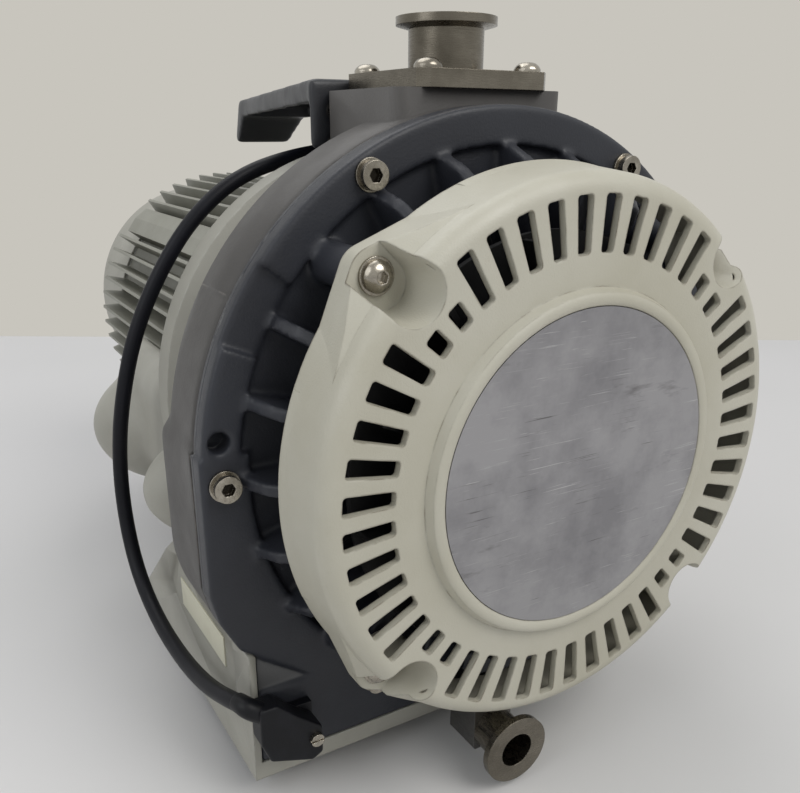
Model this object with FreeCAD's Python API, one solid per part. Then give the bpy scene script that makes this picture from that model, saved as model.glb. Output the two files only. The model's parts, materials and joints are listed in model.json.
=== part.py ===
import FreeCAD, Part
import math
import os
from FreeCAD import Vector

# Dry scroll vacuum pump, in millimetres.
# Every shape is first made about the shaft: Y runs along the shaft from the fan cover (y = 0 on its slotted
# face) to the motor's rear, X points right as seen from the front, and Z points up.
# save() then moves the shapes so that the origin is on the standing plane, under the middle of the pump.

# Gaps between pieces that don't run on each other
FIT_GAP = 0.3
HOLE_GAP = 0.4
THREAD_GAP = 0.1

# Scroll set
PITCH = 18.0
WRAP_WALL = 4.0
FLANK_GAP = 0.3
ORBIT = PITCH / 2 - WRAP_WALL - FLANK_GAP
WRAP_HEIGHT = 18.0
TIP_GAP = 0.5
OUTER_ARC = 72.0
HALF_TURNS = 5
SEAL_STRIP_WIDTH = 1.6
SEAL_STRIP_DEPTH = 1.2
SEAL_STRIP_RISE = 0.2
ORBIT_PLATE = 7.0
ORBIT_PLATE_RADIUS = 82.0
CAVITY_RADIUS = 107.0

# Casing sizes that both halves share
CASING_WALL = 18.5
FLANGE_RADIUS = CAVITY_RADIUS + CASING_WALL
JOINT_GROOVE = 2.0
JOINT_GROOVE_DEPTH = 3.5

# The casing's lower left side runs straight down from the round part, then slants in to the foot
SHOULDER_OUT = 0.8
SHOULDER_TOP = 10.0
SHOULDER_DROP = 44.0
SHOULDER_BEND = (-3.0, -56.0)
SHOULDER_SLANT = (-10.0, -69.5)
SHOULDER_DEPTH = 44.0
SHOULDER_TAPER = 6.0
WEB_RECESS = 1.5
WEB_TOP = -60.0
WEB_OVERLAP = 5.0

# Front fixed scroll: flange, hub, fins and foot
FLANGE_FRONT = 50.0
FLANGE_THICK = 9.5
FLANGE_CHAMFER = 1.0
FRONT_PLATE = 8.0
FRONT_HUB_RADIUS = 28.0
FRONT_HUB_FRONT = 30.0
VALLEY_DEPTH = 3.8
VALLEY_RADIUS = FLANGE_RADIUS - 14.0
FIN_COUNT = 24
FIN_THICK = 5.0
FIN_FRONT = 32.0
FIN_STRAIGHT = FLANGE_RADIUS - 24.0
FIN_REACH = FLANGE_RADIUS - 13.0
FIN_BEND = 6.0
POST_RADIUS = 7.5
NOTCH_ANGLES = (143.0, 157.0)
NOTCH_DEPTH = 2.8
JACK_HOLE_RADIUS = 3.9
JACK_HOLE_CIRCLE = FLANGE_RADIUS - 6.0
JACK_HOLE_ANGLE = 172.5
FOOT_TOP = 33.0
FOOT_DEPTH = 38.0

# Rear fixed scroll: drum, inlet block and hub
DRUM_STRAIGHT = 26.5
DRUM_TAPER = 22.0
DRUM_REAR_RADIUS = FLANGE_RADIUS - 8.0
DRUM_SHOULDER = 8.0
DRUM_EDGE = 1.2
SKIRT_RADIUS = FLANGE_RADIUS - 25.5
SKIRT_WALL = 8.0
SKIRT_LENGTH = 22.0
REAR_PLATE = 10.0
REAR_HUB_RADIUS = 32.0
REAR_HUB_LENGTH = 18.0
DRUM_NOTCHES = 18
DRUM_NOTCH_WIDTH = 12.0
DRUM_NOTCH_FLOOR = DRUM_REAR_RADIUS - 8.5
DRUM_NOTCH_LENGTH = 12.0
BLOCK_HALF_WIDTH = 39.0
BLOCK_FRONT = 66.0
BLOCK_REAR = 124.2
BLOCK_TOP = FLANGE_RADIUS + 5.5
BLOCK_ROUND = 6.0
CASING_BORE_RADIUS = 11.0
SEAL_RING_RADIUS = CAVITY_RADIUS + 3.0
SEAL_RING_WIDTH = 2.6
SEAL_RING_DEPTH = 2.2

# Casing screws
CASING_SCREW_CIRCLE = FLANGE_RADIUS - 7.5
CASING_SCREW_RADIUS = 3.0
CASING_SCREW_LENGTH = 28.0
CASING_HEAD_RADIUS = 5.0
CASING_HEAD_HEIGHT = 3.6
CASING_WASHER_RADIUS = 5.8
CASING_WASHER_THICK = 1.2
SEAT_ROOM = 0.8
HEX_SHARE = 0.52
CASING_SCREW_ANGLES = [0.0, 60.0, 120.0, 180.0, 240.0, 300.0]

# Shaft, bearings and seals
SHAFT_RADIUS = 10.0
MOTOR_SHAFT_RADIUS = 12.0
SHAFT_FRONT = 5.0
SHAFT_REAR_INSET = 17.0
ECCENTRIC_RADIUS = 15.0
ECCENTRIC_OVERHANG = 10.0
JOURNAL_GAP = 0.05
ECCENTRIC_BEARING_WALL = 4.0
ORBIT_HUB_WALL = 4.5
BEARING_WIDTH = 12.0
SMALL_BEARING_RADIUS = 21.0
LARGE_BEARING_RADIUS = 24.0
RACE_WALL = 3.4
BALL_COUNT = 8
BEARING_STEP = 4.0
SEAL_RADIUS = 15.5
REAR_SEAL_RADIUS = 17.5
SEAL_LENGTH = 8.0

# Idler cranks that keep the orbiting scroll from turning
IDLER_CIRCLE = 93.5
IDLER_ANGLES = [30.0, 150.0, 270.0]
IDLER_PIN_RADIUS = 4.0
IDLER_JOURNAL_RADIUS = 5.0
IDLER_WEB_RADIUS = 9.2
IDLER_WEB_THICK = 3.4
IDLER_POCKET = 4.0
IDLER_BUSH_RADIUS = 7.0
IDLER_BUSH_LENGTH = 12.0
IDLER_BOSS_RADIUS = 10.5
IDLER_BOSS_END = 3.0
IDLER_LUG_RADIUS = 8.4

# Counterweights
FRONT_WEIGHT_RADIUS = 38.0
FRONT_WEIGHT_THICK = 3.5
FRONT_WEIGHT_PLACE = 25.2
REAR_WEIGHT_RADIUS = 52.0
REAR_WEIGHT_THICK = 12.0
REAR_WEIGHT_GAP = 4.0

# Fan cover and name plate
COVER_RADIUS = 105.0
COVER_FLARE = 2.0
COVER_REAR_RADIUS = COVER_RADIUS + COVER_FLARE
COVER_REAR = 28.0
COVER_WALL = 3.0
COVER_ROUND = 7.0
COVER_CENTRE_FRONT = -1.8
PLATE_RADIUS = 60.5
PLATE_THICK = 1.5
PLATE_LIP_HEIGHT = 0.7
PLATE_LIP_WIDTH = 4.5
SLOT_COUNT = 48
SLOT_INNER = COVER_RADIUS - 27.0
SLOT_OUTER = COVER_RADIUS - 7.5
SLOT_SHORT_OUTER = COVER_RADIUS - 18.0
SLOT_INNER_WIDTH = 5.5
SLOT_OUTER_WIDTH = 7.0
SLOT_ROUND = 1.3
COVER_SCREW_CIRCLE = COVER_RADIUS - 1.0
COVER_SCREW_ANGLES = [45.0, 135.0, 225.0, 315.0]
POCKET_CIRCLE = COVER_RADIUS - 5.0
POCKET_RADIUS = 11.0
POCKET_FLOOR_RADIUS = 8.5
POCKET_WALL = 2.5
POCKET_FLOOR = 20.5
EAR_RADIUS = 9.5
COVER_SCREW_RADIUS = 3.0
COVER_HEAD_RADIUS = 5.3
COVER_HEAD_HEIGHT = 3.6
COVER_WASHER_RADIUS = 6.3
COVER_WASHER_THICK = 1.2
COVER_SCREW_LENGTH = 22.0

# Front and rear fans
FAN_RADIUS = 84.0
FAN_FRONT = 8.0
FAN_DISC_PLACE = 21.0
FAN_DISC_THICK = 2.5
FAN_HUB_RADIUS = 17.0
FAN_BLADES = 12
BLADE_THICK = 2.2
NUT_HEIGHT = 2.7
NUT_RADIUS = 12.0
REAR_FAN_RADIUS = 62.0
REAR_FAN_SPACE = 13.0
REAR_FAN_LENGTH = 16.0
REAR_FAN_BLADES = 9

# Motor
RING_RADIUS = FLANGE_RADIUS - 15.5
RING_SLOPE = 5.0
RING_WIDTH = 15.0
ADAPTER_WALL = 8.0
ADAPTER_PLATE_INNER = 64.0
MOTOR_LENGTH = 202.0
COWL_LENGTH = 58.0
FRAME_INNER = 70.0
FRAME_ROOT = 74.0
MOTOR_FIN_TIP = 88.0
MOTOR_FIN_PITCH = 6.4
MOTOR_FINS_PER_SIDE = 12
MOTOR_FIN_ROOT_HALF = 1.5
MOTOR_FIN_TIP_HALF = 0.9
MOTOR_PAD_HALF = 9.5
MOTOR_PAD_RADIUS = 85.0
STATOR_FRONT_SPACE = 35.0
STATOR_REAR_SPACE = 37.0
STATOR_INNER = 46.0
WINDING_LENGTH = 16.0
WINDING_WALL_GAP = 4.0
ROTOR_GAP = 0.6
END_BELL_THICK = 8.0
END_BELL_HUB_RADIUS = 28.0
COWL_RADIUS = 76.0
COWL_WALL = 1.6
COWL_SLOTS = 24
COWL_SLOT_INNER = 26.0
COWL_SLOT_OUTER = 62.0
COWL_SLOT_WIDTH = 5.0
COWL_SCREW_RADIUS = 2.0
COWL_SCREW_HEAD = 3.6

# Terminal box on the right side of the motor
BOX_PLACE = 35.0
BOX_LENGTH = 70.0
BOX_BOTTOM = -30.0
BOX_TOP = 40.0
BOX_INNER_X = 91.0
BOX_DEPTH = 26.0
BOX_WALL = 3.0
LID_THICK = 3.5
BOX_PEDESTAL_INSET = 6.0
BOX_SCREW_RADIUS = 2.0
BOX_SCREW_HEAD = 3.6
GLAND_PLACE = 17.0
GLAND_RADIUS = 8.0
GLAND_LENGTH = 13.0
MAINS_GLAND_RADIUS = 10.0
MAINS_GLAND_LENGTH = 16.0
MAINS_BORE_RADIUS = 4.5

# Base and feet, from the shaft
BASE_LEFT = -114.0
BASE_NARROW_LEFT = -80.0
BASE_RIGHT = 80.0
BASE_LENGTH = 212.0
BASE_WIDE_LENGTH = 162.0
BASE_DROP = 7.0
BASE_WALL = 3.0
BASE_FLOOR = 8.0
BASE_POST_TOP = -73.0
BASE_SIDE_TOP = -65.0
BASE_SIDE_LENGTH = 95.0
BASE_SLOPE_TOP = (110.0, -76.0)
BASE_SLOPE_FOOT = (154.0, -114.0)
BASE_REAR_TOP = -42.0
REAR_SIDE_START = 112.0
SADDLE_STARTS = (130.0, 188.0)
SADDLE_THICK = 10.0
SADDLE_HALF_WIDTH = 60.0
LOBE_CENTRE_X = -70.0
NEAR_LOBE = (56.0, 92.0, -38.0, 30.0, 30.0)
FAR_LOBE = (57.0, 185.0, -36.0, 42.0, 36.0)
CRADLE_X = (-107.0, -60.0)
CRADLE_START = 74.0
CRADLE_Z = (-54.0, 8.0)
CRADLE_ROUND = 16.0
RECESS_DEPTH = 0.8
RECESS_CORNERS = [(18.0, -77.0), (90.0, -69.0), (107.0, -91.0), (100.0, -95.5), (16.0, -98.0)]
RECESS_ROUND = 3.0
LABEL_Y = (30.0, 88.0)
LABEL_Z = (-95.4, -81.0)
LABEL_THICK = 0.6
FOOT_RADIUS = 15.0
FOOT_HEIGHT = 10.5
FOOT_INSET_X = 20.0
FOOT_INSET_LEFT = 26.0
FOOT_INSET_Y = 25.0
FOOT_ROUND = 2.5

# Inlet port
INLET_Y = 93.5
INLET_PLATE = 60.0
INLET_PLATE_THICK = 6.5
INLET_PLATE_CHAMFER = 4.0
INLET_BORE_RADIUS = 12.0
INLET_TUBE_RADIUS = 15.0
INLET_FLANGE_RADIUS = 20.0
INLET_NECK = 20.0
CLAMP_FLANGE_RIM = 3.0
CLAMP_TAPER = math.tan(math.radians(15.0))
INLET_SCREW_SPACING = 46.0
INLET_SCREW_LENGTH = 14.0
INLET_RING_RADIUS = 17.0
INLET_RING_SECTION = 1.4
SCREEN_DEPTH = 12.0
SCREEN_THICK = 1.0
SCREEN_HOLE = 1.2

# Exhaust port
EXHAUST_X = -17.2
EXHAUST_RISE = 0.2
EXHAUST_TUBE_LENGTH = 17.0
EXHAUST_FLANGE_RADIUS = 15.0
EXHAUST_BORE_RADIUS = 7.6
EXHAUST_TUBE_RADIUS = 9.6
EXHAUST_NECK_RADIUS = 6.0
EXHAUST_NECK_LENGTH = 12.0
EXHAUST_BLOCK_LENGTH = 18.0
EXHAUST_BLOCK_HALF = 9.6
EXHAUST_BLOCK_BELOW = 8.4
EXHAUST_BLOCK_ABOVE = 14.0
BLOCK_EDGE = 1.5
EXHAUST_CHAMBER_RADIUS = 7.0
SPIDER_LENGTH = 4.0
SPIDER_WEB = 1.4
GALLERY_RADIUS = 2.5
GALLERY_ABOVE = 6.5
GALLERY_RIB = FRONT_PLATE / 2

# Carry handle, from the top of the inlet block
HANDLE_PLATE_THICK = 3.5
HANDLE_FRONT_HALF = 45.0
HANDLE_REAR_HALF = 15.0
HANDLE_RISE = 5.0
HANDLE_PLATE_HEIGHT = 28.0
HANDLE_LENGTH = 172.0
HANDLE_ARM_DEPTH = 9.5
HANDLE_LEAN = 17.0
HANDLE_LIP = 9.0
HANDLE_END_DEPTH = 22.5
HANDLE_END_ROUND = 2.5
HANDLE_WALL = 3.0
HANDLE_SLOPE = 1.7
HANDLE_SCREW_SPACING = (66.0, 13.0)
HANDLE_SCREW_DROP = 19.0
HANDLE_SCREW_LENGTH = 16.0

# Plug on the foot, its boot and the lead. The plug's corners are (x, z) from its screw.
PLUG_SCREW_X = -93.0
PLUG_SCREW_Z = -109.5
PLUG_CORNERS = [(-22.5, 21.0), (-22.5, 5.0), (-19.0, -4.0), (-1.5, -10.5), (3.2, -8.0), (3.2, 4.5),
                (-7.0, 13.0), (-15.0, 21.0)]
PLUG_ROUND = 1.8
PLUG_THICK = 10.0
SOCKET_THICK = 4.0
SOCKET_X = (-16.5, 3.0)
SOCKET_Z = (-7.0, 10.0)
PLUG_SCREW_RADIUS = 1.5
PLUG_SCREW_HEAD = 2.8
BOOT_RADIUS = 4.5
BOOT_START = (-112.5, 41.0, -92.5)
LEAD_RADIUS = 3.5
LEAD_ROUTE = [
    (-119.5, 45.5, -89.0),
    (-123.5, 62.0, -94.0),
    (-125.5, 98.0, -101.0),
    (-127.0, 137.0, -99.0),
    (-128.0, 166.0, -84.0),
    (-128.0, 178.0, -54.0),
    (-127.0, 174.0, -22.0),
    (-122.5, 170.0, 6.0),
    (-114.5, 170.0, 31.0),
    (-102.0, 170.0, 55.0),
    (-85.0, 170.5, 78.0),
    (-62.0, 171.0, 96.0),
    (-31.0, 173.0, 105.0),
    (4.0, 180.0, 108.0),
    (38.0, 193.0, 106.0),
    (70.0, 206.0, 97.0),
    (93.0, 214.0, 79.0),
    (103.0, 217.0, 53.0),
]

# Stations along the shaft that follow from the sizes above
FLANGE_REAR = FLANGE_FRONT + FLANGE_THICK
CASE_FRONT = FLANGE_REAR + JOINT_GROOVE
CAVITY_FRONT = FLANGE_FRONT + FRONT_PLATE
ORBIT_FRONT = CAVITY_FRONT + WRAP_HEIGHT + TIP_GAP
ORBIT_REAR = ORBIT_FRONT + ORBIT_PLATE
CAVITY_REAR = ORBIT_REAR + WRAP_HEIGHT + TIP_GAP
PLATE_REAR = CAVITY_REAR + REAR_PLATE
DRUM_REAR = CASE_FRONT + DRUM_STRAIGHT + DRUM_TAPER + DRUM_SHOULDER
SHOULDER_REAR = CASE_FRONT + SHOULDER_DEPTH
REAR_HUB_REAR = PLATE_REAR + REAR_HUB_LENGTH
FRONT_BEARING_FRONT = FRONT_HUB_FRONT + BEARING_STEP
FRONT_BEARING_REAR = FRONT_BEARING_FRONT + BEARING_WIDTH
REAR_BEARING_FRONT = CAVITY_REAR + BEARING_WIDTH
SKIRT_REAR = DRUM_REAR + SKIRT_LENGTH
RING_FRONT = SKIRT_REAR + RING_SLOPE
RING_REAR = RING_FRONT + RING_WIDTH
MOTOR_FRONT = RING_REAR + RING_SLOPE
MOTOR_REAR = MOTOR_FRONT + MOTOR_LENGTH
MOTOR_BEARING_FRONT = MOTOR_REAR - BEARING_WIDTH - 2.0
STATOR_FRONT = MOTOR_FRONT + STATOR_FRONT_SPACE
STATOR_REAR = MOTOR_REAR - STATOR_REAR_SPACE
REAR_FAN_FRONT = MOTOR_REAR + END_BELL_THICK + REAR_FAN_SPACE
PUMP_REAR = MOTOR_REAR + COWL_LENGTH
SHAFT_REAR = PUMP_REAR - SHAFT_REAR_INSET
BOX_FRONT = MOTOR_FRONT + BOX_PLACE
BOX_REAR = BOX_FRONT + BOX_LENGTH
GLAND_Y = BOX_FRONT + GLAND_PLACE
PLATE_FRONT = COVER_CENTRE_FRONT - PLATE_THICK
LIP_FRONT = PLATE_FRONT - PLATE_LIP_HEIGHT
MIDDLE_Y = (LIP_FRONT + PUMP_REAR) / 2
BASE_FRONT = FLANGE_FRONT
BASE_REAR = BASE_FRONT + BASE_LENGTH
PLUG_REAR = BASE_FRONT - SOCKET_THICK
PLUG_FRONT = PLUG_REAR - PLUG_THICK
EXHAUST_BLOCK_REAR = BASE_FRONT - EXHAUST_NECK_LENGTH
EXHAUST_BLOCK_FRONT = EXHAUST_BLOCK_REAR - EXHAUST_BLOCK_LENGTH
EXHAUST_FRONT = EXHAUST_BLOCK_FRONT - EXHAUST_TUBE_LENGTH

# Heights that follow from the sizes above
BASE_BOTTOM = -(FLANGE_RADIUS + BASE_DROP)
SHAFT_HEIGHT = FOOT_HEIGHT - BASE_BOTTOM
FLOOR_TOP = BASE_BOTTOM + BASE_FLOOR
LEDGE = FLOOR_TOP + FOOT_TOP
EXHAUST_Z = FLOOR_TOP + EXHAUST_RISE
GALLERY_Z = EXHAUST_Z + GALLERY_ABOVE
INLET_PLATE_TOP = BLOCK_TOP + INLET_PLATE_THICK
INLET_TOP = INLET_PLATE_TOP + INLET_NECK
HANDLE_TOP = BLOCK_TOP + HANDLE_RISE
HANDLE_SCREW_Z = HANDLE_TOP - HANDLE_SCREW_DROP
HANDLE_REAR = BLOCK_REAR + HANDLE_LENGTH

# Eccentric and its hub
ECCENTRIC_FRONT = ORBIT_FRONT - ECCENTRIC_OVERHANG
ECCENTRIC_REAR = ORBIT_REAR + ECCENTRIC_OVERHANG
HUB_BORE = ECCENTRIC_RADIUS + ECCENTRIC_BEARING_WALL
HUB_OUTER = HUB_BORE + ORBIT_HUB_WALL

ORIGIN = Vector(0, 0, 0)
ALONG_X = Vector(1, 0, 0)
ALONG_Y = Vector(0, 1, 0)
ALONG_Z = Vector(0, 0, 1)


# General shapes

def polar(radius, angle):
    turn = math.radians(angle)
    return radius * math.cos(turn), radius * math.sin(turn)


def rod(radius, front, rear, x=0.0, z=0.0):
    return Part.makeCylinder(radius, rear - front, Vector(x, front, z), ALONG_Y)


def upright(radius, bottom, top, x, y):
    return Part.makeCylinder(radius, top - bottom, Vector(x, y, bottom), ALONG_Z)


def sideways(radius, left, right, y, z):
    return Part.makeCylinder(radius, right - left, Vector(left, y, z), ALONG_X)


def pipe(outer, inner, front, rear, x=0.0, z=0.0):
    return rod(outer, front, rear, x, z).cut(rod(inner, front, rear, x, z))


def block(x_span, y_span, z_span):
    corner = Vector(x_span[0], y_span[0], z_span[0])
    return Part.makeBox(x_span[1] - x_span[0], y_span[1] - y_span[0], z_span[1] - z_span[0], corner)


def joined(shapes):
    whole = shapes[0].fuse(shapes[1:])
    return whole.removeSplitter()


def outline(points):
    """A closed wire. A point that follows a pair of points is reached by an arc through the first of them."""
    edges = []
    start = Vector(*points[0])
    here = start
    for point in points[1:]:
        if isinstance(point[0], tuple):
            middle = Vector(*point[0])
            there = Vector(*point[1])
            edges.append(Part.Arc(here, middle, there).toShape())
        else:
            there = Vector(*point)
            edges.append(Part.makeLine(here, there))
        here = there
    if here.distanceToPoint(start) > THREAD_GAP / 100:
        edges.append(Part.makeLine(here, start))
    return Part.Wire(edges)


def turned(profile):
    """A solid turned about the shaft from (radius, y) points."""
    points = []
    for item in profile:
        if isinstance(item[0], tuple):
            points.append(((item[0][0], item[0][1], 0.0), (item[1][0], item[1][1], 0.0)))
        else:
            points.append((item[0], item[1], 0.0))
    return Part.Face(outline(points)).revolve(ORIGIN, ALONG_Y, 360)


def plate_across(points, front, thick):
    """A plate square to the shaft from (x, z) points."""
    corners = [(x, front, z) for x, z in points]
    return Part.Face(outline(corners)).extrude(Vector(0, thick, 0))


def spun(shape, angle):
    """A copy turned about the shaft, from +X towards +Z."""
    copy = shape.copy()
    copy.rotate(ORIGIN, Vector(0, -1, 0), angle)
    return copy


def ring_of(shape, angles):
    return [spun(shape, angle) for angle in angles]


def even_angles(count, first=0.0):
    return [first + 360.0 * step / count for step in range(count)]


def rounded(shape, radius, chosen):
    """The shape with a fillet on each edge that chosen() picks."""
    return shape.makeFillet(radius, [edge for edge in shape.Edges if chosen(edge)])


def runs_along(edge, axis):
    if edge.Curve.TypeId != "Part::GeomLine":
        return False
    return abs(edge.Curve.Direction.dot(axis)) > 0.999


def rounded_along(shape, radius, axis):
    return rounded(shape, radius, lambda edge: runs_along(edge, axis))


def save(name, shapes):
    pieces = shapes if isinstance(shapes, list) else [shapes]
    whole = pieces[0] if len(pieces) == 1 else Part.makeCompound(pieces)
    moved = whole.copy()
    moved.translate(Vector(0, -MIDDLE_Y, SHAFT_HEIGHT))
    moved.exportStep(os.path.join("parts", name + ".step"))


def hexagon_hole(radius, front, depth):
    corners = [polar(radius, angle) for angle in even_angles(6)]
    return plate_across(corners, front, depth)


def socket_screw(head_radius, head_height, radius, length):
    """A socket head screw along +Y, with the underside of its head at y = 0."""
    head = rod(head_radius, -head_height, 0.0)
    head = head.cut(hexagon_hole(head_radius * HEX_SHARE, -head_height, head_height * 0.6))
    return joined([head, rod(radius, 0.0, length)])


def button_screw(head_radius, head_height, radius, length):
    """A round topped screw along +Y, with the underside of its head at y = 0."""
    head = turned([(0.0, 0.0), (head_radius, 0.0), (head_radius, -0.3 * head_height),
                   ((0.8 * head_radius, -0.72 * head_height), (0.45 * head_radius, -head_height)),
                   (0.0, -head_height)])
    head = head.cut(hexagon_hole(head_radius * 0.4, -head_height, head_height * 0.6))
    return joined([head, rod(radius, 0.0, length)])


def washer(radius, hole, thick):
    return pipe(radius, hole, -thick, 0.0)


def shifted(shape, x, y, z):
    copy = shape.copy()
    copy.translate(Vector(x, y, z))
    return copy


def pointing_down(shape):
    copy = shape.copy()
    copy.rotate(ORIGIN, ALONG_X, -90)
    return copy


def radial_slot(inner, outer, inner_width, outer_width, corner, front, depth):
    """A slot along +X through a plate square to the shaft."""
    corners = [(inner, -inner_width / 2), (outer, -outer_width / 2),
               (outer, outer_width / 2), (inner, inner_width / 2)]
    return rounded_along(plate_across(corners, front, depth), corner, ALONG_Y)


def ball_bearing(bore, outside, front):
    """An inner ring, an outer ring and the balls between them."""
    middle = (bore + outside) / 2
    ball_radius = (outside - bore) / 2 - RACE_WALL + 1.0
    centre = front + BEARING_WIDTH / 2
    track = Part.makeTorus(middle, ball_radius + THREAD_GAP, Vector(0, centre, 0), ALONG_Y)
    rear = front + BEARING_WIDTH
    inner_ring = pipe(bore + RACE_WALL, bore, front, rear).cut(track)
    outer_ring = pipe(outside, outside - RACE_WALL, front, rear).cut(track)
    ball = Part.makeSphere(ball_radius, Vector(middle, centre, 0))
    return [inner_ring, outer_ring] + ring_of(ball, even_angles(BALL_COUNT))


def clamp_flange(radius, tube_radius, bore, face, tail):
    """A vacuum clamp flange on its tube along the shaft's direction, with its face at y = face."""
    rim = face + CLAMP_FLANGE_RIM
    cone = rim + (radius - tube_radius) * CLAMP_TAPER
    return turned([(bore, face), (radius, face), (radius, rim), (tube_radius, cone),
                   (tube_radius, tail), (bore, tail)])


# Scroll set

def wrap_arc(centre, radius, start, sign):
    """Half a turn about (centre, 0), from angle start on, backwards where sign is -1."""
    ends = []
    for share in (0.0, 0.5, 1.0):
        x, z = polar(radius, start + sign * 180.0 * share)
        ends.append(Vector(centre + x, 0.0, z))
    return Part.Arc(*ends).toShape()


def wrap_cap(x, half_wall, direction):
    """The round end of a wrap whose middle line meets the X axis at x."""
    first = Vector(x - half_wall, 0.0, 0.0)
    last = Vector(x + half_wall, 0.0, 0.0)
    return Part.Arc(first, Vector(x, 0.0, direction * half_wall), last).toShape()


def wrap(wall, front, rear):
    """One spiral wall made of half turns about two centres, so that its pitch stays the same."""
    half_wall = wall / 2
    edges = []
    for step in range(HALF_TURNS):
        side = 1 if step % 2 == 0 else -1
        radius = OUTER_ARC - step * PITCH / 2
        start = 180.0 * step
        edges.append(wrap_arc(side * PITCH / 4, radius + half_wall, start, 1))
        edges.append(wrap_arc(side * PITCH / 4, radius - half_wall, start, 1))
    outer_end = PITCH / 4 + OUTER_ARC
    last_radius = OUTER_ARC - (HALF_TURNS - 1) * PITCH / 2
    last_side = 1 if HALF_TURNS % 2 == 1 else -1
    inner_end = last_side * (PITCH / 4 - last_radius)
    edges.append(wrap_cap(outer_end, half_wall, -1))
    edges.append(wrap_cap(inner_end, half_wall, -last_side))
    wire = Part.Wire(Part.sortEdges(edges)[0])
    wall_solid = Part.Face(wire).extrude(Vector(0, rear - front, 0))
    wall_solid.translate(Vector(0, front, 0))
    return wall_solid


def grooved_wrap(front, rear, tip):
    """A wrap with the groove for its seal strip in the end at y = tip."""
    inward = 1 if tip == front else -1
    ends = sorted((tip, tip + inward * SEAL_STRIP_DEPTH))
    return wrap(WRAP_WALL, front, rear).cut(wrap(SEAL_STRIP_WIDTH + FIT_GAP, ends[0], ends[1]))


def seal_strip(tip, inward):
    ends = sorted((tip - inward * SEAL_STRIP_RISE, tip + inward * SEAL_STRIP_DEPTH))
    return wrap(SEAL_STRIP_WIDTH, ends[0], ends[1])


def to_orbit(shape):
    """The matching place on the orbiting scroll: half a turn round, and out by the crank's throw."""
    return shifted(spun(shape, 180.0), ORBIT, 0.0, 0.0)


def orbiting_scroll():
    plate = rod(ORBIT_PLATE_RADIUS, ORBIT_FRONT, ORBIT_REAR)
    arm = block((0.0, IDLER_CIRCLE), (ORBIT_FRONT, ORBIT_REAR), (-IDLER_LUG_RADIUS, IDLER_LUG_RADIUS))
    lug = rod(IDLER_LUG_RADIUS, ORBIT_FRONT, ORBIT_REAR, IDLER_CIRCLE)
    hub = rod(HUB_OUTER, CAVITY_FRONT + TIP_GAP, CAVITY_REAR - TIP_GAP)
    body = joined([plate, hub] + ring_of(arm, IDLER_ANGLES) + ring_of(lug, IDLER_ANGLES))
    bores = [rod(HUB_BORE, CAVITY_FRONT, CAVITY_REAR)]
    pin_hole = rod(IDLER_PIN_RADIUS + JOURNAL_GAP, ORBIT_FRONT - 1.0, ORBIT_REAR + 1.0, IDLER_CIRCLE)
    body = shifted(body.cut(bores + ring_of(pin_hole, IDLER_ANGLES)), ORBIT, 0.0, 0.0)
    front_wrap = to_orbit(grooved_wrap(CAVITY_FRONT + TIP_GAP, ORBIT_FRONT, CAVITY_FRONT + TIP_GAP))
    rear_wrap = to_orbit(grooved_wrap(ORBIT_REAR, CAVITY_REAR - TIP_GAP, CAVITY_REAR - TIP_GAP))
    return joined([body, front_wrap, rear_wrap])


def eccentric_bearing():
    return pipe(HUB_BORE, ECCENTRIC_RADIUS + JOURNAL_GAP, ECCENTRIC_FRONT, ECCENTRIC_REAR, ORBIT)


def idler_crank(angle):
    """Journal in the rear casing, web in its pocket, pin in the orbiting scroll's lug."""
    x, z = polar(IDLER_CIRCLE, angle)
    web_rear = CAVITY_REAR + IDLER_WEB_THICK + FIT_GAP
    web = rod(IDLER_WEB_RADIUS, CAVITY_REAR + FIT_GAP, web_rear, x, z)
    journal = rod(IDLER_JOURNAL_RADIUS, web_rear, CAVITY_REAR + IDLER_POCKET + IDLER_BUSH_LENGTH, x, z)
    pin = rod(IDLER_PIN_RADIUS, ORBIT_FRONT, CAVITY_REAR + FIT_GAP, x + ORBIT, z)
    return joined([web, journal, pin])


def idler_bushes():
    front = CAVITY_REAR + IDLER_POCKET
    bush = pipe(IDLER_BUSH_RADIUS, IDLER_JOURNAL_RADIUS + JOURNAL_GAP, front, front + IDLER_BUSH_LENGTH, IDLER_CIRCLE)
    return ring_of(bush, IDLER_ANGLES)


# Casing outline, shared by both halves

def shoulder(front, rear, grow=0.0):
    """The part of the casing at its lower left that stands outside its round outline."""
    left = -(FLANGE_RADIUS + SHOULDER_OUT + grow)
    bend = (left - SHOULDER_BEND[0], SHOULDER_BEND[1] - grow)
    slant = (left - SHOULDER_SLANT[0], SHOULDER_SLANT[1] - grow)
    ledge_x = -math.sqrt(FLANGE_RADIUS ** 2 - LEDGE ** 2)
    points = [(left, SHOULDER_TOP), (left, -SHOULDER_DROP), bend, slant, (ledge_x, LEDGE - grow),
              (ledge_x + CASING_WALL, LEDGE - grow), (ledge_x + CASING_WALL, SHOULDER_TOP)]
    return plate_across(points, front, rear - front).cut(rod(CAVITY_RADIUS + 1.0, front, rear))


def standing_room(front, rear):
    """What is cut from the casing so that it stands flat on the base's floor."""
    return block((-FLANGE_RADIUS, FLANGE_RADIUS), (front, rear), (-2 * FLANGE_RADIUS, FLOOR_TOP))


# Front fixed scroll

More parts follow.
